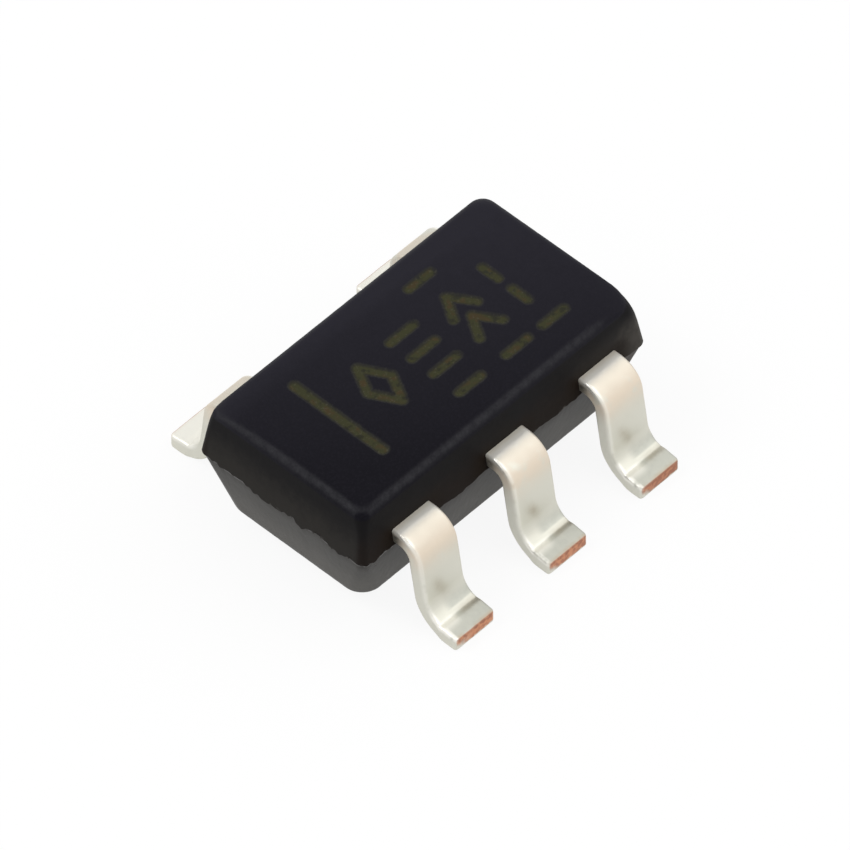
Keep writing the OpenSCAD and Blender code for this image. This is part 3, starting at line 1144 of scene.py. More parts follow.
@dataclass(frozen=True)
class LeadFrame:
    """The stamped sheet: five formed leads with their fingers, one of them with the paddle."""

    sizes: PackageSizes
    sheet: float = 0.12
    shoulder_run: float = 0.04
    shoulder_r: float = 0.1
    ankle_r: float = 0.2
    lean: float = math.radians(8.0)
    foot_l: float = 0.205
    root: float = 0.05
    rolled_edge: float = 0.017
    sheared_edge: float = 0.012
    coin_depth: float = 0.012
    ridge: Mapping[Side, float] = field(default_factory=lambda: {Side.NEAR: 0.001, Side.FAR: 0.0})
    spread: float = 0.04
    tip_corner: float = 0.034
    tip_edge: float = 0.01
    tip_heel: float = 0.03
    waver: float = 0.006
    # Share of painted light on each side's leads: it lightens the ankle and foot, takes that share off
    # their painted shade, and greys the lead a little all over
    painted_light: Mapping[Side, float] = field(default_factory=lambda: {Side.NEAR: 0.0, Side.FAR: 0.65})
    ring_step: float = 0.006
    section_share: float = 1.8
    bend_steps: int = 40
    edge_steps: int = 5
    notch_steps: int = 16
    finger_root: float = 0.19
    lock_d: float = 0.11
    paddle_drop: float = 0.15
    neck_flat: float = 0.16
    neck_run: float = 0.17
    support_w: float = 0.2
    notch_d: float = 0.1
    overlap: float = 0.01

    @property
    def underside(self) -> float:
        """Height of the underside of the frame, at the level of the leads."""
        return self.sizes.frame_top - self.sheet

    @property
    def paddle_y(self) -> float:
        """Half the width of the die paddle."""
        return self.sizes.half_w - self.neck_flat - self.neck_run

    @property
    def paddle_low(self) -> float:
        """Height of the underside of the die paddle."""
        return self.underside - self.paddle_drop

    def values(self, place: LeadPlace, material: bpy.types.Material) -> dict[str, Any]:
        """Values of the tree's inputs for one lead.

        Args:
            place: Where the lead stands.
            material: Its finish.

        Returns:
            The value of each input, in the tree's order.
        """
        return {
            "Lead width": self.sizes.lead_w,
            "Sheet thickness": self.sheet,
            "Frame top": self.sizes.frame_top,
            "Half width of the body": self.sizes.half_w,
            "Length inside the wall": self.root,
            "Shoulder run": self.shoulder_run,
            "Shoulder radius": self.shoulder_r,
            "Ankle radius": self.ankle_r,
            "Lean": self.lean,
            "Tip": self.sizes.tip_y,
            "Foot length": self.foot_l,
            "Rolled edge radius": self.rolled_edge,
            "Sheared edge radius": self.sheared_edge,
            "Ring spacing": self.ring_step,
            "Coin depth": self.coin_depth,
            "Ridge height": self.ridge[place.side],
            "Tip corner radius": self.tip_corner,
            "Tip edge radius": self.tip_edge,
            "Tip heel radius": self.tip_heel,
            "Spread of the pressed foot": self.spread,
            "Waver": self.waver,
            "Bleaching": self.painted_light[place.side],
            "Seed": float(place.number),
            "Centre": place.x,
            "Turn": place.turn,
            "Material": material,
        }

    def tree(self, values: Mapping[str, Any]) -> bpy.types.NodeTree:
        """Builds the tree that sweeps the sheet round its bends, presses the foot and cuts the tip.

        Args:
            values: Values of the inputs for one of the leads.

        Returns:
            The geometry tree, which draws a lead towards +Y and then puts it in place.
        """
        graph = GeometryGraph("formed_lead")
        width, sheet, level, wall, root, run, shoulder, ankle, lean, tip, foot, *more = graph.inputs(values)
        rolled, sheared, spacing, coin, ridge, corner, brim, heel, spread, *more = more
        waver, painted_lit, seed, centre, turn, material = more

        # The path along the middle of the sheet, with its bends at the shoulder and the ankle
        half = sheet / 2
        high = level - half
        fold = ankle + half
        lean_share = (1.0 - lean.sine()) / lean.cosine()
        first_y = wall + run + (shoulder + half) * lean_share
        second_y = first_y + (high - half) * lean.sine() / lean.cosine()
        stops = (
            graph.vector(0.0, wall - root, high),
            graph.vector(0.0, first_y, high),
            graph.vector(0.0, second_y, half),
            graph.vector(0.0, tip, half),
        )
        path = graph.move(graph.row(len(stops)), Position=graph.choose("VECTOR", stops))
        radii = (0.0, shoulder + half, fold, 0.0)
        path = graph.fillet(path, graph.choose("FLOAT", radii), self.bend_steps)
        path = graph.resample(path, spacing)
        path = graph.add("GeometryNodeSetCurveNormal", {"mode": "Z_UP"}, {"Curve": path})

        # The section, sheared below and rolled above
        sockets = {"Width": width, "Height": sheet}
        section = graph.add("GeometryNodeCurvePrimitiveQuadrilateral", {}, sockets)
        radii = (sheared, sheared, rolled, rolled)
        section = graph.fillet(section, graph.choose("FLOAT", radii), self.edge_steps)
        section = graph.resample(section, spacing * self.section_share)
        _, depth, _ = graph.place().axes()
        section = graph.keep(section, upper=depth.rise(sheet * -0.1, sheet * -0.45))
        swept = graph.sweep(path, section)

        # The foot's upper face, pressed down from its crease to the tip
        x, y, z = graph.place().axes()
        floor_y = second_y + fold * lean_share
        crease = tip - foot
        middle = ankle + sheet
        inner = middle - (ankle.squared() - (floor_y - y).at_least(0.0).squared()).root()
        lift = ankle - (ankle.squared() - (floor_y - crease).squared()).root()
        dip = y.rise(crease, crease + 0.03) - y.rise(crease + 0.03, crease + 0.08) * 0.6
        pressed = sheet + lift * (tip - y) / foot - coin * dip
        squeeze = (y > crease) * (pressed / inner - 1.0) + 1.0
        top_face = z.rise(inner * 0.6, inner)
        lip = ridge * y.rise(crease - 0.07, crease) * y.rise(crease + 0.02, crease) * top_face

        # The cut tip, with rounded corners and edges, and the foot spread by the press
        left = (tip - y).at_least(0.0)
        plan = self._rounded(corner, left)
        formed = z * squeeze + lip
        upper = (formed - half).at_least(0.0) * (1.0 - self._rounded(brim, left) / half)
        lower = (half - formed).at_least(0.0) * (1.0 - self._rounded(heel, left) / half)
        near_foot = y > crease - 0.05
        wider = spread * y.rise(crease - 0.02, crease + 0.06) + 1.0
        rounded = half + upper - lower
        shaped = graph.vector(x * (wider - plan / (width / 2)), y, z + (rounded - z) * near_foot)
        shake = (graph.noise(graph.place(), 5.0, 3.0, "Color", seed) - (0.5,) * 3) * waver
        swept = graph.move(swept, Position=shaped + shake * (y - wall).rise(0.0, 0.08))

        # Painted highlights, where the plate is also made smoother: one long edge, the bends, the ledge at
        # the wall, the foot's side, and the ankle and foot of the leads that get painted light
        x, y, z = graph.place().axes()
        upper = graph.read("upper")
        cloudy = graph.noise(graph.place(), 10.0, seed=seed)
        edge = x.rise(width / 2 - 0.034, width / 2 - 0.014)
        worked = y.bell(wall + 0.08, 0.09) + y.rise(crease - 0.08, crease) + 0.3
        roll = edge * worked.at_most(1.0) * cloudy.rise(0.32, 0.5)
        ledge = y.bell(wall + 0.038, 0.034) * 0.95
        third = x.rise(0.0, 0.08) * y.rise(crease + 0.14, crease + 0.03)
        pale = third * y.rise(crease, crease + 0.04) * 0.6
        pale = pale.at_least(painted_lit * y.rise(crease - 0.1, crease))
        roll = roll.at_least(ledge).at_least(pale)

        # Painted shade and smudge: painted shade in the hollow at the crease and in the dent past it, the
        # greyed foot, and a smudge on the shank's middle
        valley_shade = y.bell(crease + 0.046, 0.03) * x.rise(0.02, -0.06)
        hollow_shade = y.rise(crease - 0.09, crease - 0.03) * y.rise(crease, crease - 0.016)
        grey = (y.rise(crease + 0.018, crease + 0.04) * 0.9 + hollow_shade) * (1.0 - third)
        skew = x - 0.045 - (z - 0.345) * 0.4
        smudge = skew.bell(0.0, 0.046) * z.bell(0.345, 0.085) * y.rise(1.2, 1.1) * (cloudy * 0.7 + 0.2)
        smeared = x.rise(width * 0.2, width * 0.4) * z.rise(sheet * 0.7, sheet * 0.3)
        swept = graph.keep(
            swept,
            contact=(smudge + valley_shade * (1.0 - painted_lit) * 0.65) * upper,
            grey=(grey * (1.0 - painted_lit) + painted_lit * 0.3) * upper,
            roll=roll * upper,
            shine=(y.bell(wall + 0.1, 0.04) + edge * 0.5) * upper,
            tip=(tip - y).rise(0.04, 0.005) * upper,
            bled=(1.0 - upper) * y.rise(wall + 0.1, wall + 0.02),
            cut=(tip - y).rise(0.012, 0.004) * (1.0 - smeared),
        )
        whole = graph.turned(graph.united(graph.given, swept), turn, graph.vector(centre, 0.0, 0.0))
        return graph.finish(whole, material)

    @staticmethod
    def _rounded(radius: Term, left: Term) -> Term:
        """How far an edge of a radius draws in, at a distance left to the end."""
        return radius - (radius.squared() - (radius - left).at_least(0.0).squared()).root()

    def finger(self, flare: int) -> bpy.types.Mesh:
        """The flat bonding finger of a corner lead, with its lock hole.

        Args:
            flare: Sign of the X on which it widens.

        Returns:
            The finger, drawn towards +Y.
        """
        half = self.sizes.lead_w / 2
        waist = self.sizes.half_w - self.finger_root
        reach = self.sizes.half_w - self.root + self.overlap
        outline = [
            (-half, self.sizes.finger_end),
            (self.sizes.flare_x, self.sizes.finger_end),
            (self.sizes.flare_x, waist),
            (half, waist),
            (half, reach),
            (-half, reach),
        ]
        outline = [(flare * x, y) for x, y in outline]
        hole = circle(0.0, waist, self.lock_d)
        return prism("finger", outline, self.underside, self.sizes.frame_top, [hole])

    def neck(self, width: float, reach: float) -> bpy.types.Mesh:
        """A strip that steps from the level of the leads down to the paddle.

        Args:
            width: Its width.
            reach: How far it runs towards the wall.

        Returns:
            The strip, drawn towards +Y.
        """
        low = self.paddle_low
        slope = math.atan(self.paddle_drop / self.neck_run)
        shift = self.sheet * math.tan(slope / 2)
        foot = self.paddle_y
        knee = foot + self.neck_run
        outline = [
            (foot - 2 * shift, low),
            (foot, low),
            (knee, self.underside),
            (reach, self.underside),
            (reach, self.sizes.frame_top),
            (knee - shift, self.sizes.frame_top),
            (foot - shift, low + self.sheet),
            (foot - 2 * shift, low + self.sheet),
        ]
        mesh = prism("neck", outline, -width / 2, width / 2)
        mesh.transform(Matrix(((0, 0, 1, 0), (1, 0, 0, 0), (0, 1, 0, 0), (0, 0, 0, 1))))
        return mesh

    def paddle(self) -> bpy.types.Mesh:
        """The die paddle with its neck, its support bar and the notches in its long edges.

        Returns:
            The paddle, drawn with its lead towards +Y.
        """
        low = self.paddle_low
        half_x, half_y = self.sizes.paddle_x, self.paddle_y
        notch_x = (half_x + self.sizes.lead_w / 2) / 2
        outline = []
        notch_r = self.notch_d / 2
        arc = [math.pi * (1 - i / self.notch_steps) for i in range(self.notch_steps + 1)]
        for side in (-1, 1):
            outline.append((side * half_x, side * half_y))
            for x in (side * notch_x, -side * notch_x):
                outline += [
                    (x - side * notch_r * math.cos(t), side * (half_y - notch_r * math.sin(t))) for t in arc
                ]
            outline.append((-side * half_x, side * half_y))
        reach = self.sizes.half_w - self.root + self.overlap
        plate = scene_object("plate", prism("plate", outline, low, low + self.sheet))
        neck = scene_object("neck", self.neck(self.sizes.lead_w, reach))
        bar_mesh = self.neck(self.support_w, self.sizes.stub_y)
        bar_mesh.transform(Matrix.Rotation(math.pi, 4, "Z"))
        bar = scene_object("bar", bar_mesh)
        combine(plate, [neck, bar], Cut.ADD)
        mesh = plate.data
        for used in (plate, neck, bar):
            bpy.data.objects.remove(used)
        return mesh

    def build(self, material: bpy.types.Material) -> list[bpy.types.Object]:
        """Makes the five leads.

        Args:
            material: Their finish.

        Returns:
            The leads, in the order of their places.
        """
        places = self.sizes.leads
        tree = self.tree(self.values(places[0], material))
        pieces = []
        for place in places:
            inside = self.finger(place.flare) if place.flare else self.paddle()
            pieces.append(run_tree(f"formed_{place.node}", inside, tree, self.values(place, material)))
        return pieces


@dataclass
class BondWires:
    """The wires from the die to the leads: a squashed ball, a loop and a flattened stitch."""

    sizes: PackageSizes
    sheet: LeadFrame
    wire_d: float = 0.032
    ball_d: float = 0.085
    ball_h: float = 0.022
    loop_h: float = 0.11
    stitch_w: float = 0.055
    stitch_l: float = 0.06
    stitch_t: float = 0.007
    pad_inset: float = 0.07
    step: float = 0.13
    stitch_share: float = 0.25
    points: int = 46
    sides: int = 14
    ball_segments: int = 24
    ball_rings: int = 14
    doubled: tuple[int, ...] = (1, 5)

    def spans(self) -> dict[str, tuple[Point, Point]]:
        """The pad and the landing of each wire.

        Returns:
            For each wire's node, the plan of its pad and of its landing.
        """
        far_x = self.sizes.die_x - self.pad_inset
        far_y = self.sizes.die_y - self.pad_inset
        finger_y = (self.sizes.half_w - self.sheet.finger_root + self.sizes.finger_end) / 2
        neck_y = self.sizes.half_w - self.sheet.neck_flat / 2
        found = {}
        for lead in self.sizes.leads:
            name = f"bond_wire_{lead.number}"
            side = lead.side.value
            if not lead.flare:
                for mark, x in (("a", -self.step / 2), ("b", self.step / 2)):
                    found[name + mark] = ((x, side * far_y), (x, side * neck_y))
                continue
            pad_x = math.copysign(far_x, lead.x)
            if lead.number not in self.doubled:
                found[name] = ((pad_x, side * far_y), (lead.x, side * finger_y))
                continue
            for mark, shift in (("a", 0.0), ("b", self.step)):
                pad = (pad_x, side * (far_y - shift))
                found[name + mark] = (pad, (lead.x, side * (finger_y + self.step / 2 - shift)))
        return found

    def values(self, pad: Point, land: Point, material: bpy.types.Material) -> dict[str, Any]:
        """Values of the tree's inputs for one wire.

        Args:
            pad: Plan of its pad on the die.
            land: Plan of its landing on the lead.
            material: Its finish.

        Returns:
            The value of each input, in the tree's order.
        """
        return {
            "Pad": (*pad, self.sizes.die_top),
            "Span": math.dist(pad, land),
            "Drop to the lead": self.sizes.die_top - self.sizes.frame_top,
            "Turn": math.atan2(land[1] - pad[1], land[0] - pad[0]),
            "Wire diameter": self.wire_d,
            "Ball diameter": self.ball_d,
            "Ball height": self.ball_h,
            "Loop height": self.loop_h,
            "Stitch width": self.stitch_w,
            "Stitch length": self.stitch_l,
            "Stitch thickness": self.stitch_t,
            "Material": material,
        }

    def tree(self, values: Mapping[str, Any]) -> bpy.types.NodeTree:
        """Builds the tree that draws one wire along X from its pad and then puts it in place.

        Args:
            values: Values of the inputs for one of the wires.

        Returns:
            The geometry tree.
        """
        graph = GeometryGraph("bonded_wire")
        inputs = graph.inputs(values)
        pad, span, drop, turn, wire, ball, squashed, loop, broad, reach, thin, material = inputs

        # The path: a cubic curve up from the ball, over the loop and down, then straight on as a stitch
        land = drop * -1.0
        stops = (
            graph.vector(0.0, 0.0, squashed * 0.6),
            graph.vector(0.0, 0.0, loop * 1.3),
            graph.vector(span * 0.4, 0.0, loop * 1.3),
            graph.vector(span - reach, 0.0, land + wire / 2),
        )
        share = graph.add("GeometryNodeInputIndex") / (self.points - 1) * (1.0 + self.stitch_share)
        t = share.at_most(1.0)
        s = 1.0 - t
        bend = stops[0] * (s * s * s) + stops[1] * (s * s * t * 3.0)
        bend = bend + stops[2] * (s * t * t * 3.0) + stops[3] * (t * t * t)
        past = graph.vector(reach * (share - 1.0).at_least(0.0) / self.stitch_share, 0.0, 0.0)
        path = graph.move(graph.row(self.points), Position=bend + past)
        sockets = {"Resolution": self.sides, "Radius": wire / 2}
        swept = graph.sweep(path, graph.add("GeometryNodeCurvePrimitiveCircle", {}, sockets))

        # The stitch, pressed thin and wide with a round end
        x, y, z = graph.place().axes()
        along = ((x - span + reach) / reach).at_least(0.0).at_most(1.0)
        pressed = 1.0 - along.rise(0.0, 0.6) * (1.0 - thin / wire)
        round_end = (1.0 - ((along - 0.55) / 0.46).at_least(0.0).squared()).root()
        wider = ((broad / wire - 1.0) * along.rise(0.0, 0.5) + 1.0) * round_end
        flat = (land + (z - land) * pressed).at_least(land)
        swept = graph.move(swept, Position=graph.vector(x, y * wider, flat))
        swept = graph.keep(swept, squashed=along)

        # The ball, squashed flat on its pad
        sockets = {"Segments": self.ball_segments, "Rings": self.ball_rings, "Radius": 1.0}
        lump = graph.add("GeometryNodeMeshUVSphere", {}, sockets)
        x, y, z = graph.place().axes()
        height = ((z * 0.62 + 0.38) * squashed).at_least(0.0)
        lump = graph.move(lump, Position=graph.vector(x * ball / 2, y * ball / 2, height))
        lump = graph.keep(lump, squashed=1.0)
        return graph.finish(graph.turned(graph.united(swept, lump), turn, pad), material)

    def build(self, material: bpy.types.Material) -> dict[str, bpy.types.Object]:
        """Makes the wires.

        Args:
            material: Their finish.

        Returns:
            The wire that stands for each node.
        """
        values = {node: self.values(*ends, material) for node, ends in self.spans().items()}
        tree = self.tree(next(iter(values.values())))
        pieces = {}
        for node, given in values.items():
            name = node.replace("bond_wire", "bonded_wire")
            pieces[node] = run_tree(name, bpy.data.meshes.new(name), tree, given)
        return pieces


def pocket(source: bpy.types.Object, beds: Sequence[float] = (), filled: bool = False) -> bpy.types.Object:
    """Copies an inner piece as the tool that cuts its pocket in the compound.

    Args:
        source: The piece.
        beds: Heights, in millimetres, at which it lies on another piece. The copy reaches a little
            into that piece's own pocket there, so that no skin is left between the two.
        filled: Whether hollows in it are filled, because another piece lies in them.

    Returns:
        The copy, to be removed after use.
    """
    mesh = source.data.copy()
    mesh.name = f"{source.name}_pocket"
    with opened(mesh) as shell:
        bmesh.ops.remove_doubles(shell, verts=shell.verts, dist=SAME_POINT)
        if filled:
            hull = bmesh.ops.convex_hull(shell, input=shell.verts)
            loose = hull["geom_interior"] + hull["geom_unused"]
            spare = [each for each in loose if isinstance(each, bmesh.types.BMVert)]
            old = [face for face in shell.faces if face not in set(hull["geom"])]
            bmesh.ops.delete(shell, geom=old, context="FACES_ONLY")
            bmesh.ops.delete(shell, geom=spare, context="VERTS")
        for vertex in shell.verts:
            if any(abs(vertex.co.z / MM - bed) < SAME_LEVEL for bed in beds):
                vertex.co.z -= POCKET_REACH * MM
    face_outwards(mesh)
    return scene_object(mesh.name, mesh)


@dataclass(frozen=True)
class Ring:
    """One ring of the body's skin; its height is one number or one for each point."""

    inset: Any
    corner: Any
    z: Any

    def grown(self, margin: float) -> "Ring":
        """The same ring, further in by a margin, with square corners."""
        return Ring([side + margin for side in self.inset], 0.0, self.z)


@dataclass(frozen=True)
class Corners:
    """Radii of the body's four upright corners at one level."""

    near_left: float
    near_right: float
    far_right: float
    far_left: float

    def at(self, square: np.ndarray) -> np.ndarray:
        """Finds the radius that holds at each place of the square of side 2.

        Args:
            square: The places.

        Returns:
            The radius of the nearest corner at each.
        """
        right = square[:, 0] > 0
        far = square[:, 1] > 0
        choices = [self.near_left, self.near_right, self.far_right]
        return np.select([~far & ~right, ~far & right, far & right], choices, self.far_left)


@dataclass(frozen=True)
class MouldHalf:
    """One half of the mould: a flat, the rounded edge round it, and drafted walls."""

    flat_z: float
    edge_r: float
    flat_corner_r: np.ndarray
    wall_corner_r: np.ndarray
    drafts: tuple[float, float]
    step: float = 0.0
    corner_power: float = 1.0
    edge_rings: int = 10
    wall_rings: int = 20

    def rings(self, middle_z: float, rim_z: np.ndarray, corner_r: np.ndarray) -> list[Ring]:
        """Rings from the flat to the parting line, whose walls lean by one draft at each end and side.

        Args:
            middle_z: Height at which the walls have their full size.
            rim_z: Height of the parting line at each point of the rim.
            corner_r: Radius of each corner of the plan at the middle height.

        Returns:
            The rings.
        """
        up = math.copysign(1.0, self.flat_z - middle_z)
        tall = abs(self.flat_z - middle_z)
        turn = math.pi / 2 - sum(self.drafts) / 2
        slopes = [math.tan(draft) for draft in self.drafts]
        centres = [
            self.step + tall * math.tan(draft) + self.edge_r * (1 - math.sin(draft)) / math.cos(draft)
            for draft in self.drafts
        ]
        rings = []
        for angle in np.linspace(0, turn, self.edge_rings):
            out = self.edge_r * math.sin(angle)
            share = math.sin(angle) / math.sin(turn)
            corner = self.flat_corner_r + (self.wall_corner_r - self.flat_corner_r) * share
            z = self.flat_z - up * self.edge_r * (1 - math.cos(angle))
            rings.append(Ring([centre - out for centre in centres], corner, z))
        last = rings[-1]
        for share in np.linspace(0, 1, self.wall_rings)[1:]:
            z = last.z + (rim_z - last.z) * share
            rise = (z - middle_z) * up
            worn = np.clip(rise / abs(last.z - middle_z), 0, 1) ** self.corner_power
            corner = corner_r + (last.corner - corner_r) * worn
            rings.append(Ring([self.step + rise * slope for slope in slopes], corner, z))
        return rings


@dataclass
class MouldedBody:
    """The moulded body: drafted halves that meet in a wavy parting line, and laser marks."""

    sizes: PackageSizes
    parting_z: float = 0.67
    top_drafts: tuple[float, float] = (math.radians(7.6), math.radians(7.6))
    bottom_drafts: tuple[float, float] = (math.radians(11.2), math.radians(12.0))
    top_flat_corners: Corners = Corners(0.17, 0.62, 0.22, 0.62)
    top_wall_corners: Corners = Corners(0.09, 0.19, 0.1, 0.08)
    upper_corners: Corners = Corners(0.056, 0.064, 0.056, 0.047)
    lower_corners: Corners = Corners(0.056, 0.056, 0.056, 0.075)
    bottom_wall_corners: Corners = Corners(0.17, 0.28, 0.2, 0.185)
    bottom_flat_corners: Corners = Corners(0.15, 0.28, 0.2, 0.21)
    top_edge_r: float = 0.085
    bottom_edge_r: float = 0.083
    ledge: float = 0.006
    wave: float = 0.02
    long_waves: tuple[int, ...] = (9, 17, 29, 43)
    short_waves: tuple[int, ...] = (61, 83, 109, 131)
    flash: float = 0.0032
    calm_flash: float = 0.0014
    end_reach: float = 0.12
    end_blend: float = 0.06
    cells_x: int = 262
    cells_y: int = 136
    stroke_w: float = 0.082
    mark_depth: float = 0.012
    ragged: float = 0.02
    lip: float = 0.002
    grain: float = 0.003
    stain_margin: float = 0.02
    stain_drops: tuple[float, float] = (0.1, 0.05)
    seed: int = 5

    # Height of the parting line along the end at -X, as (Y, Z)
    end_line: tuple[Point, ...] = (
        (-0.8, 0.68),
        (-0.66, 0.69),
        (-0.56, 0.655),
        (-0.48, 0.662),
        (-0.38, 0.7),
        (-0.28, 0.69),
        (-0.2, 0.635),
        (-0.12, 0.685),
        (0.05, 0.655),
        (0.2, 0.65),
        (0.4, 0.685),
        (0.58, 0.675),
        (0.8, 0.685),
    )

    def square(self) -> np.ndarray:
        """Lays out a grid of places on a square of side 2.

        Returns:
            The places, in one row along Y for each step along X.
        """
        u = np.linspace(-1, 1, self.cells_x + 1)
        v = np.linspace(-1, 1, self.cells_y + 1)
        return np.stack(np.meshgrid(u, v, indexing="ij"), axis=-1).reshape(-1, 2)

    def border(self) -> np.ndarray:
        """Indices of the grid's border, anticlockwise."""
        grid = np.arange((self.cells_x + 1) * (self.cells_y + 1)).reshape(self.cells_x + 1, -1)
        return np.concatenate([grid[:-1, 0], grid[-1, :-1], grid[:0:-1, -1], grid[0, :0:-1]])

    def spread(self, square: np.ndarray, inset: Any, corner: Any) -> np.ndarray:
        """Maps the square to the body's plan.

        Args:
            square: Places on the square of side 2.
            inset: How far each lies inside the plan at the parting height, in X and in Y.
            corner: Radius of the corners at each.

        Returns:
            Places in the plan, in millimetres.
        """
        halves = np.array([self.sizes.half_l, self.sizes.half_w]) - np.column_stack(inset)
        flat = np.abs(square) * halves
        beyond = np.clip(flat - (halves - np.reshape(corner, (-1, 1))), 0, None)
        away = np.hypot(*beyond.T)
        share = np.divide(beyond.max(axis=1), away, out=np.ones_like(away), where=away > 0)
        return np.sign(square) * (flat - beyond + beyond * share[:, None])

    def parting(self, rim: np.ndarray) -> np.ndarray:
        """Height of the parting line at each place of the rim.

        Args:
            rim: Places of the rim in plan, in order round the body.

        Returns:
            The heights.
        """
        random = np.random.default_rng(self.seed)
        steps = np.hypot(*(np.roll(rim, -1, axis=0) - rim).T)
        along = np.cumsum(steps) / steps.sum()
        height = np.full(len(rim), self.parting_z)
        for waves in self.long_waves:
            rise = np.sin(2 * math.pi * (waves * along + random.random()))
            height += self.wave / math.sqrt(waves) * rise
        ys, zs = zip(*self.end_line)
        end = np.interp(rim[:, 1], ys, zs)
        share = np.clip((self.end_reach - self.sizes.half_l - rim[:, 0]) / self.end_blend, 0, 1)
        height += (end - height) * share
        flash = self.calm_flash + (self.flash - self.calm_flash) * share
        for waves in self.short_waves:
            height += flash * np.sin(2 * math.pi * (waves * along + random.random()))
        return height

    def shell(self) -> bpy.types.Mesh:
        """Builds the body's closed skin, before its marks and grain.

        Returns:
            The skin in millimetres.
        """
        square = self.square()
        border = self.border()
        rim = square[border]
        parting = self.parting(self.spread(rim, (0.0, 0.0), self.upper_corners.at(rim)))
        upper = MouldHalf(
            self.sizes.top,
            self.top_edge_r,
            self.top_flat_corners.at(rim),
            self.top_wall_corners.at(rim),
            self.top_drafts,
            corner_power=7.0,
        )
        lower = MouldHalf(
            self.sizes.standoff,
            self.bottom_edge_r,
            self.bottom_flat_corners.at(rim),
            self.bottom_wall_corners.at(rim),
            self.bottom_drafts,
            self.ledge,
        )
        flat, *above = upper.rings(self.parting_z, parting, self.upper_corners.at(rim))
        below = lower.rings(self.parting_z, parting - self.ledge / 2, self.lower_corners.at(rim))
        rings = [*above, *reversed(below), below[0].grown(self.bottom_edge_r)]

        # The top is a grid; below it the rings run down to a flat face
        plan = self.spread(square, flat.inset, self.top_flat_corners.at(square))
        points = [np.column_stack([plan, np.full(len(plan), flat.z)])]
        for ring in rings:
            plan = self.spread(rim, ring.inset, ring.corner)
            points.append(np.column_stack([plan, np.broadcast_to(ring.z, len(rim))]))
        grid = np.arange(len(square)).reshape(self.cells_x + 1, -1)
        quads = np.stack([grid[:-1, :-1], grid[1:, :-1], grid[1:, 1:], grid[:-1, 1:]], axis=-1)
        faces = quads.reshape(-1, 4).tolist()
        high = border
        for number in range(len(rings)):
            low = len(square) + number * len(rim) + np.arange(len(rim))
            sides = [low, np.roll(low, -1), np.roll(high, -1), high]
            faces += np.stack(sides, axis=-1).tolist()
            high = low
        faces.append(high[::-1].tolist())
        mesh = polygon_mesh("body_shell", np.concatenate(points), faces)

        # What the material reads: the two rings of the seam, how far each point of the lower half lies
        # below it, and how far down the upper walls each of their points lies
        start = len(square) + (len(above) - 1) * len(rim)
        heights = np.concatenate(points)[:, 2]
        seam = np.zeros(len(heights))
        seam[start : start + 2 * len(rim)] = 1.0
        drop = np.zeros(len(heights))
        drop[start + len(rim) :] = np.tile(parting, len(below) + 1) - heights[start + len(rim) :]
        wall = np.zeros(len(heights))
        wall_top = self.sizes.top - self.top_edge_r
        upper_rings = slice(len(square), start + len(rim))
        down = (wall_top - heights[upper_rings]) / (wall_top - np.tile(parting, len(above)))
        wall[upper_rings] = np.clip(down, 0, 1)
        for name, values in (("seam", seam), ("drop", drop), ("wall", wall)):
            mesh.attributes.new(name, "FLOAT", "POINT").data.foreach_set("value", values)
        return mesh

    def strokes(self) -> list[list[Point]]:
        """The laser's strokes on the top: a bar at lead 1, plain dashes, and four plain figures.

        Returns:
            Open lines in plan, in millimetres.
        """
        bar = [[(x, -0.422), (x, 0.437)] for x in (-0.8485, -0.8415)]
        dash = 0.11
        dashes = [
            [(x - dash, y), (x + dash, y)]
            for x, y in ((0.464, 0.47), (0.008, -0.45), (0.485, -0.45), (0.86, -0.45))
        ]
        lozenge = [[(-0.425, 0.23), (-0.305, 0.01), (-0.425, -0.21), (-0.545, 0.01), (-0.425, 0.23)]]
        ladder = [[(-0.1, y), (0.137, y)] for y in (-0.2, 0.01, 0.22)]
        carets = [[(0.36, y), (0.48, y + 0.19), (0.6, y)] for y in (-0.21, 0.04)]
        colon = [[(0.855, 0.08), (0.855, 0.23)], [(0.855, -0.21), (0.855, -0.06)]]
        return bar + dashes + lozenge + ladder + carets + colon

    def tree(self, values: Mapping[str, Any]) -> bpy.types.NodeTree:
        """Builds the tree that grains the skin, burns the marks into it and stains it at the leads.

        Args:
            values: Values of its inputs.

        Returns:
            The geometry tree.
        """
        graph = GeometryGraph("moulded_surface")
        strokes, roots, stroke_w, depth, ragged, lip, grain, edge_z, seed, material = graph.inputs(values)

        place = graph.place()
        half = stroke_w / 2
        to_stroke = self._distance(graph, strokes)
        rough = (graph.noise(place, 45.0, 3.0, seed=seed) - 0.5) * ragged + to_stroke
        burn = rough.rise(half + 0.016, half - 0.012)
        pits = graph.noise(place, 60.0, seed=seed) + 0.4
        rim = lip * rough.bell(half + 0.004, 0.007)
        texture = (graph.noise(place, 30.0, 3.0, seed=seed) - 0.5) * grain
        normal = graph.add("GeometryNodeInputNormal")
        sink = graph.vector(0.0, 0.0, rim - depth * burn * pits)
        skin = graph.move(graph.given, Offset=normal * texture + sink)

        # A painted highlight on the rounded edge round the top, apart from its corners and the end by lead
        # 3
        along, across, tilt = normal.axes()
        east, north, height = place.axes()
        rounded = (height > edge_z) * tilt.bell(0.7, 0.3) * tilt.rise(0.98, 0.9)
        straight = (along * across).squared().rise(0.04, 0.004)
        skin = graph.keep(
            skin,
            laser=burn,
            core=to_stroke.rise(half, stroke_w / 5),
            bleed=self._distance(graph, roots).rise(0.16, 0.02),
            edge=rounded * straight * (east - north * 0.3).rise(1.4, 1.15),
        )
        return graph.finish(skin, material)

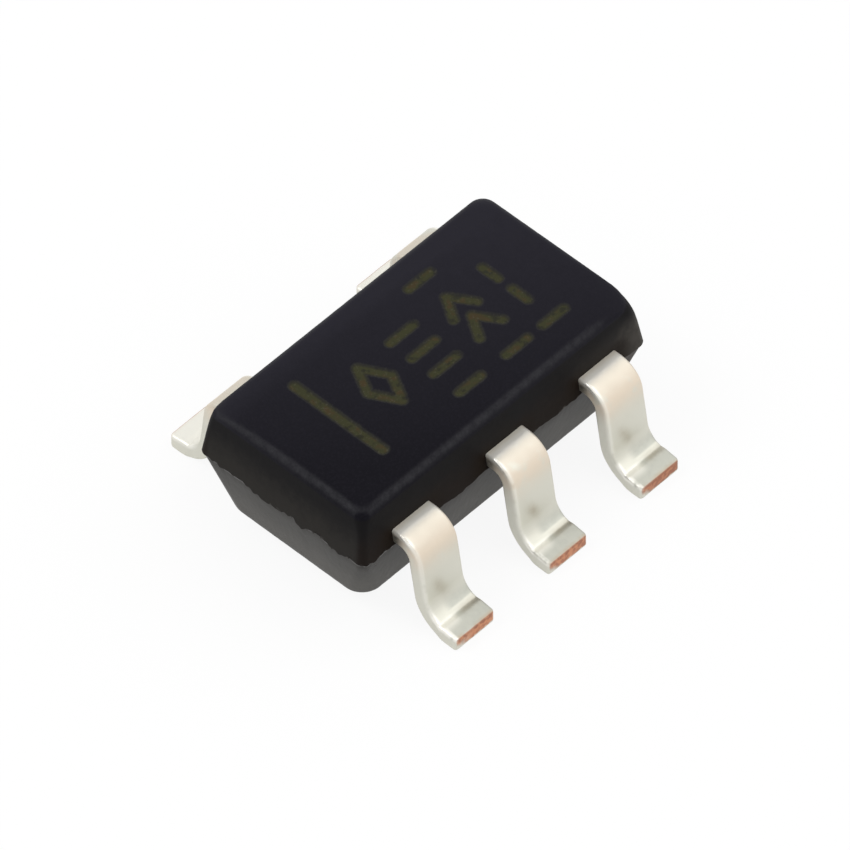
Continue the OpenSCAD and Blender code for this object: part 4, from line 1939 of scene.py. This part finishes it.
    @staticmethod
    def _distance(graph: GeometryGraph, guide: Term) -> Term:
        """Measures how far each point is from a guide.

        Args:
            graph: The tree that measures it.
            guide: The guide, an object of bare edges.

        Returns:
            The distance to its nearest edge.
        """
        lines = graph.add("GeometryNodeObjectInfo", {}, {"Object": guide}, "Geometry")
        settings = {"target_element": "EDGES"}
        return graph.add("GeometryNodeProximity", settings, {"Target": lines}, "Distance")

    def build(self, material: bpy.types.Material, inner: Sequence[bpy.types.Object]) -> bpy.types.Object:
        """Makes the body.

        Args:
            material: Its finish.
            inner: The pieces that the compound is moulded round.

        Returns:
            The body.
        """
        top = self.sizes.top
        strokes = guide_lines("strokes", [[(x, y, top) for x, y in line] for line in self.strokes()])
        half = self.sizes.lead_w / 2 + self.stain_margin
        levels = [self.sizes.frame_top - drop for drop in self.stain_drops]
        roots = [
            [(place.x + shift, place.side.value * self.sizes.half_w, z) for z in levels]
            for place in self.sizes.leads
            for shift in (-half, half)
        ]
        values = {
            "Strokes": strokes,
            "Lead roots": guide_lines("roots", roots),
            "Stroke width": self.stroke_w,
            "Mark depth": self.mark_depth,
            "Ragged edge": self.ragged,
            "Lip height": self.lip,
            "Grain height": self.grain,
            "Foot of the top edge": top - self.top_edge_r,
            "Seed": float(self.seed),
            "Material": material,
        }
        body = run_tree("moulded_body", self.shell(), self.tree(values), values)
        for guide in (strokes, values["Lead roots"]):
            bpy.data.objects.remove(guide)
        combine(body, inner, Cut.REMOVE)
        soften(body.data)
        return body


@dataclass
class Studio:
    """The plain pale floor, the soft lights and the camera at the photo's angle."""

    azimuth: float = math.radians(-45.789)
    elevation: float = math.radians(49.343)
    roll: float = math.radians(-0.945)
    distance: float = 102.011
    pixels_per_mm: float = 142.07
    aim: tuple[float, float, float] = (-0.115, -0.123, 0.55)
    image_px: float = 850.0
    fill: float = 0.7
    sensor: float = 36.0
    nearest_m: float = 0.001
    floor_half_m: float = 0.5
    floor_grey: float = 0.9
    floor_glow: float = 0.9

    # Each softbox: its name, its middle and its side in millimetres, and its power in watts
    lamps: tuple[tuple[str, tuple[float, float, float], float, float], ...] = (
        ("right_softbox", (70.0, -64.0, 115.0), 160.0, 0.08),
        ("left_softbox", (-64.0, 68.0, 117.0), 70.0, 0.07),
    )

    def camera(self) -> None:
        """Sets the camera so that the object fills the image as in the photo."""
        az, el, roll = self.azimuth, self.elevation, self.roll
        back = Vector((math.sin(az) * math.cos(el), -math.cos(az) * math.cos(el), math.sin(el)))
        level = Vector((math.cos(az), math.sin(az), 0.0))
        rise = back.cross(level)
        right = level * math.cos(roll) + rise * math.sin(roll)
        up = rise * math.cos(roll) - level * math.sin(roll)
        data = bpy.data.cameras.new("camera")
        data.sensor_width = self.sensor
        data.lens = self.pixels_per_mm * self.distance * self.sensor / self.image_px
        data.clip_start = self.nearest_m
        camera = scene_object("camera", data)
        camera.matrix_world = Matrix.Translation((Vector(self.aim) + back * self.distance) * MM) @ Matrix(
            (right, up, back)
        ).transposed().to_4x4()
        bpy.context.scene.camera = camera

    def backdrop_light(self, graph: Graph) -> Term:
        """Picks out the rays that should see a white background.

        Args:
            graph: The tree that asks.

        Returns:
            1 for rays of the camera, of gloss and of glass, else 0.
        """
        rays = [
            graph.add("ShaderNodeLightPath", {}, {}, name)
            for name in ("Is Camera Ray", "Is Glossy Ray", "Is Transmission Ray")
        ]
        return (rays[0] + rays[1] + rays[2]).at_most(1.0)

    def world(self) -> None:
        """Lights the scene evenly, with a white background behind it."""
        world = bpy.data.worlds.new("studio")
        world.use_nodes = True
        graph = Graph(world.node_tree)
        background = world.node_tree.nodes["Background"]
        graph.feed(background.inputs["Color"], (1.0, 1.0, 1.0))
        graph.feed(background.inputs["Strength"], self.backdrop_light(graph) * (1 - self.fill) + self.fill)
        bpy.context.scene.world = world

    def floor(self) -> None:
        """Lays the floor, which shows white to the camera and keeps the object's shadow."""
        half = self.floor_half_m
        corners = [(-half, -half, 0.0), (half, -half, 0.0), (half, half, 0.0), (-half, half, 0.0)]
        floor = scene_object("floor", polygon_mesh("floor", corners, [(0, 1, 2, 3)]))
        material = bpy.data.materials.new("pale_floor")
        material.use_nodes = True
        tree = material.node_tree
        tree.nodes.clear()
        graph = Graph(tree)
        paint = graph.add("ShaderNodeBsdfDiffuse", {}, {"Color": (self.floor_grey,) * 3})
        glow = graph.add("ShaderNodeEmission", {}, {"Color": (1.0, 1.0, 1.0), "Strength": 1.0})
        shown = self.backdrop_light(graph) * self.floor_glow
        mixed = graph.add("ShaderNodeMixShader", {}, {0: shown, 1: paint, 2: glow})
        output = tree.nodes.new("ShaderNodeOutputMaterial")
        graph.feed(output.inputs["Surface"], mixed)
        floor.data.materials.append(material)

    def lamp(self, name: str, place: tuple[float, float, float], size: float, power: float) -> None:
        """Hangs one softbox that faces the object.

        Args:
            name: Its name.
            place: Its middle, in millimetres.
            size: Side of its square, in millimetres.
            power: Its power in watts.
        """
        data = bpy.data.lights.new(name, "AREA")
        data.size = size * MM
        data.energy = power
        lamp = scene_object(name, data)
        lamp.location = Vector(place) * MM
        lamp.rotation_euler = Vector(place).to_track_quat("Z", "Y").to_euler()

    def build(self) -> None:
        """Sets up the whole studio."""
        bpy.context.scene.view_settings.view_transform = "Standard"
        self.camera()
        self.world()
        self.floor()
        for lamp in self.lamps:
            self.lamp(*lamp)


def stand_for(piece: bpy.types.Object, node: str) -> None:
    """Lets a piece ride on the part in place of a frame node, and reports it.

    Args:
        piece: The finished piece.
        node: The node that it replaces.
    """
    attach(piece, BODY)
    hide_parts(node)
    LOG.info("%s stands for %s: %d faces", piece.name, node, len(piece.data.polygons))


def dress(node: bpy.types.Object, material: bpy.types.Material) -> None:
    """Gives a frame node its finish.

    Args:
        node: The node's object, whose shape stays.
        material: The finish.
    """
    for slot in node.material_slots:
        slot.material = material
    LOG.info("%s keeps its frame mesh: %d faces", node.name, len(node.data.polygons))


def main() -> None:
    """Builds every piece round the frame and reports it."""
    logging.basicConfig(level=logging.INFO, format="%(name)s: %(message)s")
    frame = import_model()
    sizes = PackageSizes.from_frame(frame["record"])
    Studio().build()

    sheet = LeadFrame(sizes)
    leads = sheet.build(TinPlate(stub_y=sizes.stub_y).material())
    for piece, place in zip(leads, sizes.leads):
        stand_for(piece, place.node)

    wiring = BondWires(sizes, sheet)
    wires = wiring.build(DrawnGold().material())
    for node, piece in wires.items():
        stand_for(piece, node)

    silicon = PatternedSilicon(sizes.die_top, sizes.die_x, sizes.die_y, wiring.pad_inset, wiring.step)
    dress(frame["nodes"]["die"], silicon.material())
    dress(frame["nodes"]["die_attach"], SilverAdhesive().material())

    pockets = [pocket(wire, (sizes.die_top, sizes.frame_top)) for wire in wires.values()]
    paddle_top = sheet.paddle_low + sheet.sheet
    pockets.append(pocket(frame["nodes"]["die_attach"], (paddle_top,), filled=True))
    pockets.append(pocket(frame["nodes"]["die"]))
    body = MouldedBody(sizes).build(MouldCompound().material(), [*leads, *pockets])
    for tool in pockets:
        bpy.data.objects.remove(tool)
    stand_for(body, "moulded_case")


if __name__ == "__main__":
    main()
